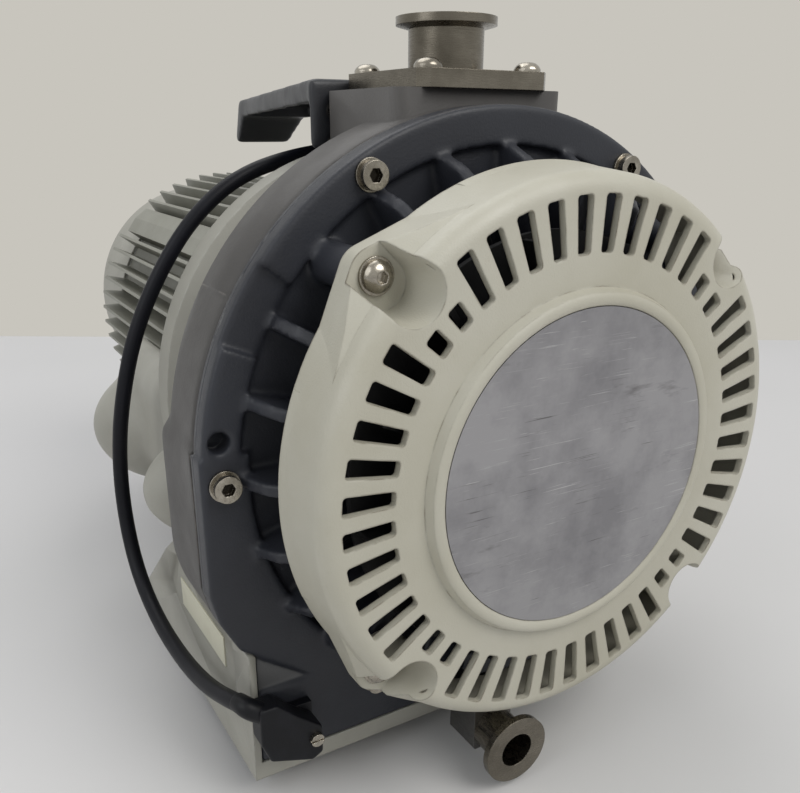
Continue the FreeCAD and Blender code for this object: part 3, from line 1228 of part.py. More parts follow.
def left_wall():
    return wall_along(BASE_LEFT, BASE_LEFT + BASE_WALL, [
        (0.0, BASE_BOTTOM), (0.0, BASE_POST_TOP), (BASE_SIDE_LENGTH, BASE_SIDE_TOP), BASE_SLOPE_TOP,
        BASE_SLOPE_FOOT, (BASE_WIDE_LENGTH, BASE_BOTTOM)])


def right_wall():
    return wall_along(BASE_RIGHT - BASE_WALL, BASE_RIGHT, [
        (0.0, BASE_BOTTOM), (0.0, BASE_POST_TOP), (BASE_SIDE_LENGTH, BASE_REAR_TOP),
        (BASE_LENGTH, BASE_REAR_TOP), (BASE_LENGTH, BASE_BOTTOM)])


def lobe(place):
    """A smooth rounded bulge on the left side: (reach, y and z of its middle, half length, half height)."""
    reach, y, z, half_length, half_height = place
    ball = Part.makeSphere(1.0)
    stretch = FreeCAD.Matrix()
    stretch.scale(reach, half_length, half_height)
    bulge = ball.transformGeometry(stretch)
    bulge.translate(Vector(LOBE_CENTRE_X, BASE_FRONT + y, z))
    return bulge


def cradle():
    """The rounded body along the motor's left side that the bulges grow from."""
    body = block(CRADLE_X, (BASE_FRONT + CRADLE_START, BASE_REAR), CRADLE_Z)
    return rounded(body, CRADLE_ROUND, lambda edge: edge.BoundBox.XMax < CRADLE_X[0] + 1.0)


def casing_room():
    """The space that the casing, adapter and motor take, with a small gap round them."""
    outer = FLANGE_RADIUS + FIT_GAP
    taper_start = CASE_FRONT + DRUM_STRAIGHT
    drum = turned([(0.0, FLANGE_FRONT - FIT_GAP), (outer, FLANGE_FRONT - FIT_GAP), (outer, taper_start),
                   (DRUM_REAR_RADIUS + FIT_GAP, taper_start + DRUM_TAPER),
                   (DRUM_REAR_RADIUS + FIT_GAP, DRUM_REAR + FIT_GAP), (0.0, DRUM_REAR + FIT_GAP)])
    drum = drum.cut(standing_room(0.0, DRUM_REAR + 1.0))
    skirt = rod(SKIRT_RADIUS + 2.0 + FIT_GAP, DRUM_REAR, RING_FRONT)
    ring = rod(RING_RADIUS + FIT_GAP, RING_FRONT - RING_SLOPE, MOTOR_FRONT + FIT_GAP)
    motor = rod(MOTOR_FIN_TIP + FIT_GAP, RING_REAR, MOTOR_REAR)
    return [drum, shoulder(FLANGE_FRONT - FIT_GAP, SHOULDER_REAR + FIT_GAP, FIT_GAP), skirt, ring, motor]


def base():
    wide_rear = BASE_FRONT + BASE_WIDE_LENGTH
    inner_start = BASE_FRONT + REAR_SIDE_START
    floor = block((BASE_LEFT, BASE_RIGHT), (BASE_FRONT, wide_rear), (BASE_BOTTOM, FLOOR_TOP))
    rear_floor = block((BASE_NARROW_LEFT, BASE_RIGHT), (wide_rear, BASE_REAR), (BASE_BOTTOM, FLOOR_TOP))
    height = (BASE_BOTTOM, BASE_REAR_TOP)
    inner_wall = block((BASE_NARROW_LEFT, BASE_NARROW_LEFT + BASE_WALL), (inner_start, BASE_REAR), height)
    rear_wall = block((BASE_NARROW_LEFT, BASE_RIGHT), (BASE_REAR - BASE_WALL, BASE_REAR), height)
    pieces = [left_wall(), right_wall(), floor, rear_floor, inner_wall, rear_wall]
    pieces += [cradle(), lobe(NEAR_LOBE), lobe(FAR_LOBE)]
    for start in SADDLE_STARTS:
        place = BASE_FRONT + start
        pieces.append(block((BASE_NARROW_LEFT, SADDLE_HALF_WIDTH), (place, place + SADDLE_THICK),
                            (BASE_BOTTOM, -SADDLE_HALF_WIDTH)))
    body = joined(pieces)
    recess = wall_along(BASE_LEFT - 1.0, BASE_LEFT + RECESS_DEPTH, RECESS_CORNERS)
    recess = rounded_along(recess, RECESS_ROUND, ALONG_X)
    post_room = rod(POST_RADIUS + FIT_GAP, COVER_REAR, FLANGE_FRONT, COVER_SCREW_CIRCLE)
    return body.cut(casing_room() + ring_of(post_room, COVER_SCREW_ANGLES) + [recess])


def label_plate():
    left = BASE_LEFT + RECESS_DEPTH - LABEL_THICK
    return block((left, left + LABEL_THICK), (BASE_FRONT + LABEL_Y[0], BASE_FRONT + LABEL_Y[1]), LABEL_Z)


def rubber_feet():
    front = BASE_FRONT + FOOT_INSET_Y
    rear = BASE_REAR - FOOT_INSET_Y
    right = BASE_RIGHT - FOOT_INSET_X
    places = [(BASE_LEFT + FOOT_INSET_LEFT, front), (right, front),
              (BASE_NARROW_LEFT + FOOT_INSET_X, rear), (right, rear)]
    feet = []
    for x, y in places:
        foot = upright(FOOT_RADIUS, -SHAFT_HEIGHT, BASE_BOTTOM, x, y)
        feet.append(rounded(foot, FOOT_ROUND, lambda edge: edge.BoundBox.ZMax < -SHAFT_HEIGHT + 1.0))
    return feet


# Inlet port

def corner_places(spacing):
    half = spacing / 2
    return [(x, INLET_Y + y) for x in (-half, half) for y in (-half, half)]


def inlet_port():
    half = INLET_PLATE / 2
    plate = block((-half, half), (INLET_Y - half, INLET_Y + half), (BLOCK_TOP, INLET_PLATE_TOP))
    upright_edges = [edge for edge in plate.Edges if runs_along(edge, ALONG_Z)]
    plate = plate.makeChamfer(INLET_PLATE_CHAMFER, upright_edges)
    tube = clamp_flange(INLET_FLANGE_RADIUS, INLET_TUBE_RADIUS, INLET_BORE_RADIUS, -INLET_TOP, -BLOCK_TOP)
    tube = shifted(pointing_down(tube), 0.0, INLET_Y, 0.0)
    body = joined([plate, tube])
    ring = Part.makeTorus(INLET_RING_RADIUS, INLET_RING_SECTION + THREAD_GAP, Vector(0, INLET_Y, BLOCK_TOP), ALONG_Z)
    cuts = [upright(INLET_BORE_RADIUS, BLOCK_TOP - 1.0, INLET_TOP + 1.0, 0.0, INLET_Y), ring]
    for x, y in corner_places(INLET_SCREW_SPACING):
        cuts.append(upright(COVER_SCREW_RADIUS + HOLE_GAP, BLOCK_TOP - 1.0, INLET_PLATE_TOP + 1.0, x, y))
    return body.cut(cuts)


def inlet_seal():
    ring = Part.makeTorus(INLET_RING_RADIUS, INLET_RING_SECTION, Vector(0, INLET_Y, BLOCK_TOP), ALONG_Z)
    above = block((-INLET_PLATE, INLET_PLATE), (0.0, DRUM_REAR + INLET_PLATE), (BLOCK_TOP, INLET_TOP))
    return ring.common(above)


def inlet_screws():
    screw = button_screw(COVER_HEAD_RADIUS, COVER_HEAD_HEIGHT, COVER_SCREW_RADIUS, INLET_SCREW_LENGTH)
    screw = pointing_down(screw)
    return [shifted(screw, x, y, INLET_PLATE_TOP) for x, y in corner_places(INLET_SCREW_SPACING)]


def inlet_screw_holes():
    bottom = INLET_PLATE_TOP - INLET_SCREW_LENGTH - 1.0
    return [upright(COVER_SCREW_RADIUS + THREAD_GAP, bottom, BLOCK_TOP + 1.0, x, y)
            for x, y in corner_places(INLET_SCREW_SPACING)]


def screen_seat():
    """A step in the casing's bore that holds the inlet screen."""
    top = BLOCK_TOP - SCREEN_DEPTH + SCREEN_THICK
    return upright(CASING_BORE_RADIUS + 1.0, BLOCK_TOP - SCREEN_DEPTH, top, 0.0, INLET_Y)


def inlet_screen():
    bottom = BLOCK_TOP - SCREEN_DEPTH
    disc = upright(CASING_BORE_RADIUS + 1.0 - THREAD_GAP, bottom, bottom + SCREEN_THICK, 0.0, INLET_Y)
    holes = []
    step = 3.4 * SCREEN_HOLE
    for column in range(-2, 3):
        for row in range(-2, 3):
            x = column * step
            y = row * step
            if math.hypot(x, y) < CASING_BORE_RADIUS - 2 * SCREEN_HOLE:
                holes.append(upright(SCREEN_HOLE, bottom - 1.0, bottom + 2 * SCREEN_THICK, x, INLET_Y + y))
    return disc.cut(holes)


# Exhaust port

def exhaust_port():
    tube = clamp_flange(EXHAUST_FLANGE_RADIUS, EXHAUST_TUBE_RADIUS, EXHAUST_BORE_RADIUS, EXHAUST_FRONT,
                        EXHAUST_BLOCK_FRONT)
    return shifted(tube, EXHAUST_X, 0.0, EXHAUST_Z)


def exhaust_block():
    """A square block on a round neck, which seats on the foot's face."""
    body = block((EXHAUST_X - EXHAUST_BLOCK_HALF, EXHAUST_X + EXHAUST_BLOCK_HALF),
                 (EXHAUST_BLOCK_FRONT, EXHAUST_BLOCK_REAR),
                 (EXHAUST_Z - EXHAUST_BLOCK_BELOW, EXHAUST_Z + EXHAUST_BLOCK_ABOVE))
    body = rounded_along(body, BLOCK_EDGE, ALONG_Y)
    neck = rod(EXHAUST_NECK_RADIUS, EXHAUST_BLOCK_REAR - 1.0, BASE_FRONT, EXHAUST_X, GALLERY_Z)
    middle = (EXHAUST_BLOCK_FRONT + EXHAUST_BLOCK_REAR) / 2
    chamber = rod(EXHAUST_CHAMBER_RADIUS, EXHAUST_BLOCK_FRONT - 1.0, middle, EXHAUST_X, EXHAUST_Z)
    back = rod(GALLERY_RADIUS, middle - GALLERY_RADIUS, BASE_FRONT + 1.0, EXHAUST_X, GALLERY_Z)
    return joined([body, neck]).cut([chamber, back])


def exhaust_spider():
    """Three webs on a middle boss, pressed into the block's chamber."""
    front = EXHAUST_BLOCK_FRONT
    rear = front + SPIDER_LENGTH
    ring = pipe(EXHAUST_CHAMBER_RADIUS, EXHAUST_CHAMBER_RADIUS - SPIDER_WEB, front, rear)
    boss = rod(2 * SPIDER_WEB, front, rear)
    half = SPIDER_WEB / 2
    web = block((SPIDER_WEB, EXHAUST_CHAMBER_RADIUS - half), (front, rear), (-half, half))
    return shifted(joined([ring, boss] + ring_of(web, even_angles(3, 90.0))), EXHAUST_X, 0.0, EXHAUST_Z)


# Carry handle

def handle_screw_places():
    half_x = HANDLE_SCREW_SPACING[0] / 2
    half_z = HANDLE_SCREW_SPACING[1] / 2
    return [(x, HANDLE_SCREW_Z + z) for x in (-half_x, half_x) for z in (-half_z, half_z)]


def handle_screw_holes():
    return [rod(COVER_SCREW_RADIUS + THREAD_GAP, BLOCK_REAR - HANDLE_SCREW_LENGTH, BLOCK_REAR + 1.0, x, z)
            for x, z in handle_screw_places()]


def taper_prism(front_half, rear_half, front, rear, bottom, top):
    corners = [(-front_half, front, bottom), (-rear_half, rear, bottom), (rear_half, rear, bottom),
               (front_half, front, bottom)]
    return Part.Face(outline(corners)).extrude(Vector(0, 0, top - bottom))


def handle_side():
    """The handle's side outline: a shallow arm whose end leans down and back."""
    arm_bottom = HANDLE_TOP - HANDLE_ARM_DEPTH
    end_bottom = HANDLE_TOP - HANDLE_END_DEPTH
    bend = HANDLE_REAR - HANDLE_LEAN
    places = [(BLOCK_REAR, HANDLE_TOP), (bend, HANDLE_TOP), (HANDLE_REAR, end_bottom),
              (HANDLE_REAR - HANDLE_LIP, end_bottom), (bend - HANDLE_LIP, arm_bottom), (BLOCK_REAR, arm_bottom)]
    side = Part.Face(outline([(-HANDLE_FRONT_HALF, y, z) for y, z in places]))
    side = side.extrude(Vector(2 * HANDLE_FRONT_HALF, 0, 0))
    return rounded(side, HANDLE_END_ROUND, lambda edge: runs_along(edge, ALONG_X)
                   and edge.BoundBox.YMin > BLOCK_REAR + 1.0)


def carry_handle():
    plate_rear = BLOCK_REAR + HANDLE_PLATE_THICK
    bottom = HANDLE_TOP - HANDLE_END_DEPTH - 1.0
    body = taper_prism(HANDLE_FRONT_HALF, HANDLE_REAR_HALF, BLOCK_REAR, HANDLE_REAR, bottom, HANDLE_TOP)
    rear_corners = [edge for edge in body.Edges if runs_along(edge, ALONG_Z)
                    and edge.BoundBox.YMin > HANDLE_REAR - 1.0]
    body = body.makeFillet(2 * HANDLE_WALL, rear_corners).common(handle_side())
    hollow_length = HANDLE_LENGTH - HANDLE_LEAN - 2 * HANDLE_LIP
    hollow_half = HANDLE_FRONT_HALF + (HANDLE_REAR_HALF - HANDLE_FRONT_HALF) * hollow_length / HANDLE_LENGTH
    hollow = taper_prism(HANDLE_FRONT_HALF - HANDLE_WALL, hollow_half - HANDLE_WALL, BLOCK_REAR - 1.0,
                         BLOCK_REAR + hollow_length, bottom, HANDLE_TOP - HANDLE_WALL)
    body = body.cut(hollow)
    body.rotate(Vector(0, BLOCK_REAR, HANDLE_TOP), ALONG_X, -HANDLE_SLOPE)
    body = body.cut(block((-100.0, 100.0), (BLOCK_REAR - 20.0, BLOCK_REAR), (0.0, 2 * HANDLE_TOP)))
    plate = block((-HANDLE_FRONT_HALF, HANDLE_FRONT_HALF), (BLOCK_REAR, plate_rear),
                  (HANDLE_TOP - HANDLE_PLATE_HEIGHT, HANDLE_TOP))
    plate = rounded(plate, HANDLE_WALL, lambda edge: runs_along(edge, ALONG_Y))
    holes = [rod(COVER_SCREW_RADIUS + HOLE_GAP, BLOCK_REAR - 1.0, plate_rear + 1.0, x, z)
             for x, z in handle_screw_places()]
    return joined([body, plate]).cut(holes)


def handle_screws():
    screw = button_screw(COVER_HEAD_RADIUS, COVER_HEAD_HEIGHT, COVER_SCREW_RADIUS,
                         HANDLE_SCREW_LENGTH + HANDLE_PLATE_THICK - 2.0)
    screw.rotate(ORIGIN, ALONG_Z, 180)
    return [shifted(screw, x, BLOCK_REAR + HANDLE_PLATE_THICK, z) for x, z in handle_screw_places()]


# Square plug, boot and lead

def plug_hole(front, rear):
    return rod(PLUG_SCREW_RADIUS + THREAD_GAP, front, rear, PLUG_SCREW_X, PLUG_SCREW_Z)


def plug_socket():
    body = block((PLUG_SCREW_X + SOCKET_X[0], PLUG_SCREW_X + SOCKET_X[1]), (PLUG_REAR, BASE_FRONT),
                 (PLUG_SCREW_Z + SOCKET_Z[0], PLUG_SCREW_Z + SOCKET_Z[1]))
    return body.cut(plug_hole(PLUG_REAR - 1.0, BASE_FRONT + 1.0))


def plug_block():
    """The plug's rounded body without its hole."""
    corners = [(PLUG_SCREW_X + x, PLUG_SCREW_Z + z) for x, z in PLUG_CORNERS]
    body = plate_across(corners, PLUG_FRONT, PLUG_THICK)
    body = rounded_along(body, PLUG_ROUND, ALONG_Y)
    return rounded(body, PLUG_ROUND / 2, lambda edge: edge.BoundBox.YMax < PLUG_FRONT + 0.1)


def plug_body():
    return plug_block().cut(plug_hole(PLUG_FRONT - 1.0, PLUG_REAR + 1.0))


def plug_screw():
    head = rod(PLUG_SCREW_HEAD, PLUG_FRONT - 2.0, PLUG_FRONT, PLUG_SCREW_X, PLUG_SCREW_Z)
    slot = block((PLUG_SCREW_X - PLUG_SCREW_HEAD, PLUG_SCREW_X + PLUG_SCREW_HEAD),
                 (PLUG_FRONT - 3.0, PLUG_FRONT - 1.0), (PLUG_SCREW_Z - 0.5, PLUG_SCREW_Z + 0.5))
    shank = rod(PLUG_SCREW_RADIUS, PLUG_FRONT - 0.5, BASE_FRONT + 5.0, PLUG_SCREW_X, PLUG_SCREW_Z)
    return joined([head, shank]).cut(slot)


def plug_boot():
    """The elbow that turns the lead from the plug's upper corner to the back."""
    start = Vector(*BOOT_START)
    knee_place = Vector(*LEAD_ROUTE[0]) - lead_start() * BOOT_RADIUS
    run = knee_place - start
    out = Part.makeCylinder(BOOT_RADIUS, run.Length, start, run)
    knee = Part.makeSphere(BOOT_RADIUS, knee_place)
    back = Part.makeCone(BOOT_RADIUS, LEAD_RADIUS + 0.8, BOOT_RADIUS, knee_place, lead_start())
    behind = block((start.x - PLUG_THICK, 0.0), (PLUG_REAR, BASE_FRONT), (PLUG_SCREW_Z, 0.0))
    return joined([out, knee, back]).cut([plug_block(), behind])


def lead_start():
    first = Vector(*LEAD_ROUTE[0])
    return (Vector(*LEAD_ROUTE[1]) - first).normalize()


def lead_path():
    """Straight runs joined by tangent arcs, and the radius of each arc."""
    points = [Vector(*point) for point in LEAD_ROUTE]
    edges = []
    radii = []
    here = points[0]
    for before, corner, after in zip(points, points[1:], points[2:]):
        inward = (corner - before).normalize()
        outward = (after - corner).normalize()
        turn = inward.getAngle(outward)
        reach = 0.45 * min(before.distanceToPoint(corner), corner.distanceToPoint(after))
        radius = reach / math.tan(turn / 2)
        start = corner - inward * reach
        end = corner + outward * reach
        bisector = (outward - inward).normalize()
        middle = corner + bisector * (radius / math.cos(turn / 2) - radius)
        edges.append(Part.makeLine(here, start))
        edges.append(Part.Arc(start, middle, end).toShape())
        radii.append(radius)
        here = end
    edges.append(Part.makeLine(here, points[-1]))
    return Part.Wire(edges), radii


def motor_lead():
    path, radii = lead_path()
    section = Part.Wire([Part.makeCircle(LEAD_RADIUS, Vector(*LEAD_ROUTE[0]), lead_start())])
    tube = path.makePipeShell([section], True, False)
    print("lead radii", [round(radius, 1) for radius in radii])
    ideal = math.pi * LEAD_RADIUS ** 2 * path.Length
    print("lead length", round(path.Length, 1), "volume share", round(tube.Volume / ideal, 4))
    return tube


def main():
    os.makedirs("parts", exist_ok=True)
    save("base", base())
    save("rubber_feet", rubber_feet())
    save("label_plate", label_plate())
    save("front_fixed_scroll", front_fixed_scroll())
    save("rear_fixed_scroll", rear_fixed_scroll())
    save("casing_seal", casing_seal())
    save("casing_screws", casing_screws())
    save("casing_washers", casing_washers())
    save("fan_cover", fan_cover())
    save("cover_screws", cover_screws())
    save("cover_washers", cover_washers())
    save("name_plate", name_plate())
    save("inlet_port", inlet_port())
    save("inlet_seal", inlet_seal())
    save("inlet_screen", inlet_screen())
    save("inlet_screws", inlet_screws())
    save("exhaust_port", exhaust_port())
    save("exhaust_block", exhaust_block())
    save("exhaust_spider", exhaust_spider())
    save("carry_handle", carry_handle())
    save("handle_screws", handle_screws())
    save("motor_adapter", adapter_solid())
    save("motor_frame", motor_frame())
    save("stator_core", stator_core())
    save("stator_windings", stator_windings())
    save("rear_end_bell", rear_end_bell())
    save("motor_cowl", motor_cowl())
    save("cowl_screws", cowl_screws())
    save("terminal_box", terminal_box())
    save("terminal_lid", terminal_lid())
    save("terminal_screws", terminal_screws())
    save("lead_gland", lead_gland())
    save("mains_gland", mains_gland())
    save("plug_socket", plug_socket())
    save("plug_body", plug_body())
    save("plug_screw", plug_screw())
    save("plug_boot", plug_boot())
    save("motor_lead", motor_lead())
    save("front_bearing", ball_bearing(SHAFT_RADIUS + JOURNAL_GAP, SMALL_BEARING_RADIUS, FRONT_BEARING_FRONT))
    save("rear_bearing", ball_bearing(MOTOR_SHAFT_RADIUS + JOURNAL_GAP, LARGE_BEARING_RADIUS, REAR_BEARING_FRONT))
    save("motor_bearing", ball_bearing(SHAFT_RADIUS + JOURNAL_GAP, SMALL_BEARING_RADIUS, MOTOR_BEARING_FRONT))
    save("shaft_seals", shaft_seals())
    save("casing_tip_seals", [seal_strip(ORBIT_FRONT - TIP_GAP, -1), seal_strip(ORBIT_REAR + TIP_GAP, 1)])
    save("idler_bushes", idler_bushes())
    save("crankshaft", crankshaft())
    save("front_counterweight", front_counterweight())
    save("rear_counterweight", rear_counterweight())
    save("motor_rotor", motor_rotor())
    save("front_fan", front_fan())
    save("rear_fan", rear_fan())
    save("fan_nut", fan_nut())
    save("orbiting_scroll", orbiting_scroll())
    save("orbiting_tip_seals", [to_orbit(seal_strip(CAVITY_FRONT + TIP_GAP, 1)),
                                to_orbit(seal_strip(CAVITY_REAR - TIP_GAP, -1))])
    save("eccentric_bearing", eccentric_bearing())
    for number, angle in enumerate(IDLER_ANGLES, start=1):
        save("idler_crank_%d" % number, idler_crank(angle))


main()
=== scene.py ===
import bmesh
import bpy
import json
import math
from mathutils import Matrix, Vector


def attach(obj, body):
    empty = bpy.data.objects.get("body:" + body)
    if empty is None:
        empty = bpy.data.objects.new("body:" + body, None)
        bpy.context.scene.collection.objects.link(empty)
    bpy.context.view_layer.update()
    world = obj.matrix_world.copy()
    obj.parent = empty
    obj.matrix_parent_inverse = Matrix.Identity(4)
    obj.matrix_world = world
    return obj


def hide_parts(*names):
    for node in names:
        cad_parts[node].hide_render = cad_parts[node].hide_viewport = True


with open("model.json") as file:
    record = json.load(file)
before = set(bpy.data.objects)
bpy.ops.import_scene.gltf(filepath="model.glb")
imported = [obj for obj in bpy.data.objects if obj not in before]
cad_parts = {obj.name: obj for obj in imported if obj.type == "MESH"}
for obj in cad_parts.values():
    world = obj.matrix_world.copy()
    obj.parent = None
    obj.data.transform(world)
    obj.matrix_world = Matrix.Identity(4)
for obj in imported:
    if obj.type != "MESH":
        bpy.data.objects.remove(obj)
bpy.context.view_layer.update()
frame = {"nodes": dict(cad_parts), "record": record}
nodes = frame["nodes"]

# The pump is described in millimetres about its shaft: x to the right, y along the shaft from the slotted
# face, z up. at() turns such a point into the model's frame, in metres.
SHAFT_HEIGHT = 143.0
MIDDLE_Y = 210.5
X_AXIS, Y_AXIS, Z_AXIS = 0, 1, 2


def at(x, y, z):
    return Vector((x / 1000.0, (y - MIDDLE_Y) / 1000.0, (z + SHAFT_HEIGHT) / 1000.0))


# Small helpers for making and placing pieces

def placed(name, data):
    piece = bpy.data.objects.new(name, data)
    bpy.context.scene.collection.objects.link(piece)
    return piece


def link(name, mesh, body, material):
    """A visible piece of the pump, on its body and with its material slot."""
    piece = placed(name, mesh)
    piece.data.materials.append(material)
    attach(piece, body)
    return piece


# Camera

CAMERA_PLACE = (-203.3, -211.3, 117.3)
CAMERA_AZIMUTH = math.radians(-30.98)
CAMERA_ELEVATION = math.radians(21.01)
CAMERA_ROLL = math.radians(0.29)
SENSOR_WIDTH = 36.0
FOCAL_LENGTH = 37.59
SHIFT_UP = 0.0647


def make_camera():
    data = bpy.data.cameras.new("camera")
    data.sensor_width = SENSOR_WIDTH
    data.lens = FOCAL_LENGTH
    data.shift_y = SHIFT_UP
    data.clip_start = 0.01
    camera = placed("camera", data)
    level = math.cos(CAMERA_ELEVATION)
    back = Vector((math.sin(CAMERA_AZIMUTH) * level, -math.cos(CAMERA_AZIMUTH) * level,
                   math.sin(CAMERA_ELEVATION)))
    roll = Matrix.Rotation(CAMERA_ROLL, 4, "Z").to_quaternion()
    camera.location = at(*CAMERA_PLACE)
    camera.rotation_mode = "QUATERNION"
    camera.rotation_quaternion = (-back).to_track_quat("-Z", "Y") @ roll
    bpy.context.scene.camera = camera


make_camera()


# Materials. Colours are written as display values from 0 to 255.

def srgb(red, green, blue):
    """A display colour as linear light."""
    values = []
    for value in (red, green, blue):
        share = value / 255.0
        values.append(share / 12.92 if share <= 0.04045 else ((share + 0.055) / 1.055) ** 2.4)
    return tuple(values) + (1.0,)


LOOKS = {}
EDGE_SAMPLES = 6
FACING_FRONT = (-0.7, -0.9)
PATCH_DEPTH_FADE = 0.0003
PATCH_RIM_FADE = 0.004


class Look:
    """A node material, kept in LOOKS by its name, with a few short ways to add to it."""

    def __init__(self, name):
        self.material = bpy.data.materials.new(name)
        self.material.use_nodes = True
        self.tree = self.material.node_tree
        self.shader = self.tree.nodes["Principled BSDF"]
        self.place = self.add("ShaderNodeTexCoord").outputs["Object"]
        LOOKS[name] = self.material

    def add(self, kind, **settings):
        node = self.tree.nodes.new(kind)
        for key, value in settings.items():
            setattr(node, key, value)
        return node

    def join(self, source, target):
        """Links a socket to the next one, or sets it to a constant."""
        if isinstance(source, (float, tuple)):
            target.default_value = source
        else:
            self.tree.links.new(source, target)

    def shade(self, **sources):
        for key, source in sources.items():
            self.join(source, self.shader.inputs[key.replace("_", " ")])

    def mapped(self, scale, turn=0.0):
        """The place, turned about y and then stretched."""
        node = self.add("ShaderNodeMapping")
        node.inputs["Rotation"].default_value = (0.0, turn, 0.0)
        node.inputs["Scale"].default_value = scale
        self.join(self.place, node.inputs["Vector"])
        return node.outputs["Vector"]

    def noise(self, scale, detail=3.0, rough=0.6, vector=None):
        node = self.add("ShaderNodeTexNoise")
        node.inputs["Scale"].default_value = scale
        node.inputs["Detail"].default_value = detail
        node.inputs["Roughness"].default_value = rough
        self.join(vector or self.place, node.inputs["Vector"])
        return node.outputs["Fac"]

    def ramp(self, source, low, high, start=0.0, end=1.0):
        node = self.add("ShaderNodeMapRange")
        node.clamp = True
        node.inputs["From Min"].default_value = low
        node.inputs["From Max"].default_value = high
        node.inputs["To Min"].default_value = start
        node.inputs["To Max"].default_value = end
        self.join(source, node.inputs["Value"])
        return node.outputs["Result"]

    def sum_or_product(self, operation, first, second):
        node = self.add("ShaderNodeMath", operation=operation)
        self.join(first, node.inputs[0])
        self.join(second, node.inputs[1])
        return node.outputs[0]

    def times(self, first, second):
        return self.sum_or_product("MULTIPLY", first, second)

    def plus(self, first, second):
        return self.sum_or_product("ADD", first, second)

    def mixed(self, share, first, second):
        """A blend of two colours, each a socket or a display colour."""
        node = self.add("ShaderNodeMix", data_type="RGBA")
        self.join(share, node.inputs["Factor"])
        for socket, colour in ((node.inputs[6], first), (node.inputs[7], second)):
            self.join(srgb(*colour) if isinstance(colour, tuple) else colour, socket)
        return node.outputs[2]

    def part_of(self, vector, letter):
        node = self.add("ShaderNodeSeparateXYZ")
        self.join(vector, node.inputs[0])
        return node.outputs[letter]

    def edges(self, radius):
        """Soft edge normals, and a mask that is high on edges and low on flat faces."""
        soft = self.add("ShaderNodeBevel", samples=EDGE_SAMPLES)
        soft.inputs["Radius"].default_value = radius
        geometry = self.add("ShaderNodeNewGeometry")
        dot = self.add("ShaderNodeVectorMath", operation="DOT_PRODUCT")
        self.join(soft.outputs["Normal"], dot.inputs[0])
        self.join(geometry.outputs["Normal"], dot.inputs[1])
        return soft.outputs["Normal"], self.ramp(dot.outputs["Value"], 0.995, 0.85)

    def patched(self, body, patch):
        """The body colour, with another tone on the patch's faces that look to the front: a painted
        highlight or painted shade.
        """
        if patch is None:
            return body
        start, middle, reach, tone = patch
        away = self.add("ShaderNodeVectorMath", operation="DISTANCE")
        self.join(self.place, away.inputs[0])
        away.inputs[1].default_value = middle
        normal = self.add("ShaderNodeNewGeometry").outputs["Normal"]
        front = self.ramp(self.part_of(normal, "Y"), *FACING_FRONT)
        deep = self.ramp(self.part_of(self.place, "Y"), start, start + PATCH_DEPTH_FADE)
        near = self.ramp(away.outputs["Value"], reach, reach - PATCH_RIM_FADE)
        return self.mixed(self.times(self.times(front, deep), near), body, tone)

    def bump(self, height, strength, distance, normal=None):
        node = self.add("ShaderNodeBump")
        node.inputs["Strength"].default_value = strength
        node.inputs["Distance"].default_value = distance
        self.join(height, node.inputs["Height"])
        if normal:
            self.join(normal, node.inputs["Normal"])
        return node.outputs["Normal"]


def painted(name, colour, stain, wear, rough, grain, edge=0.0008, gloss=0.5, patch=None):
    """Paint on a casting: blotches, a fine cast grain, worn edges, and a patch of painted light or shade if
    given.
    """
    look = Look(name)
    soft, edge_mask = look.edges(edge)
    blotches = look.ramp(look.noise(14.0, 4.0), 0.35, 0.75)
    specks = look.ramp(look.noise(160.0, 2.0), 0.62, 0.78, 0.0, 0.6)
    body = look.mixed(blotches, colour, stain)
    body = look.mixed(look.times(specks, 0.35), body, stain)
    body = look.patched(body, patch)
    rubbed = look.times(edge_mask, look.ramp(look.noise(90.0, 3.0), 0.42, 0.62))
    look.shade(Base_Color=look.mixed(rubbed, body, wear),
               Roughness=look.ramp(look.noise(45.0, 3.0), 0.3, 0.7, rough - 0.07, rough + 0.08),
               Normal=look.bump(look.noise(grain, 3.0), 0.35, 0.0003, soft),
               Specular_IOR_Level=gloss)


def metal(name, colour, stain, rough, stretch, edge=0.0004, patch=None):
    """Bare metal with a tool or brush grain along one direction, and a patch of painted light or shade if
    given.
    """
    look = Look(name)
    soft = look.edges(edge)[0]
    grain = look.noise(1.0, 4.0, 0.65, look.mapped(stretch))
    patches = look.ramp(look.noise(30.0, 4.0), 0.35, 0.7)
    body = look.mixed(patches, colour, stain)
    body = look.mixed(look.ramp(grain, 0.3, 0.7, 0.0, 0.5), body, stain)
    look.shade(Base_Color=look.patched(body, patch),
               Roughness=look.ramp(grain, 0.3, 0.7, rough - 0.06, rough + 0.1),
               Normal=look.bump(grain, 0.25, 0.0001, soft),
               Metallic=1.0)


def moulded(name, colour, stain, rough, grain, edge=0.0006, gloss=0.5):
    """Plastic or rubber with a fine grain and a little dust."""
    look = Look(name)
    soft = look.edges(edge)[0]
    dust = look.ramp(look.noise(60.0, 4.0), 0.5, 0.8, 0.0, 0.7)
    look.shade(Base_Color=look.mixed(dust, colour, stain),
               Roughness=look.ramp(look.noise(35.0, 2.0), 0.3, 0.7, rough - 0.05, rough + 0.08),
               Normal=look.bump(look.noise(grain, 2.0), 0.3, 0.0002, soft),
               Specular_IOR_Level=gloss)


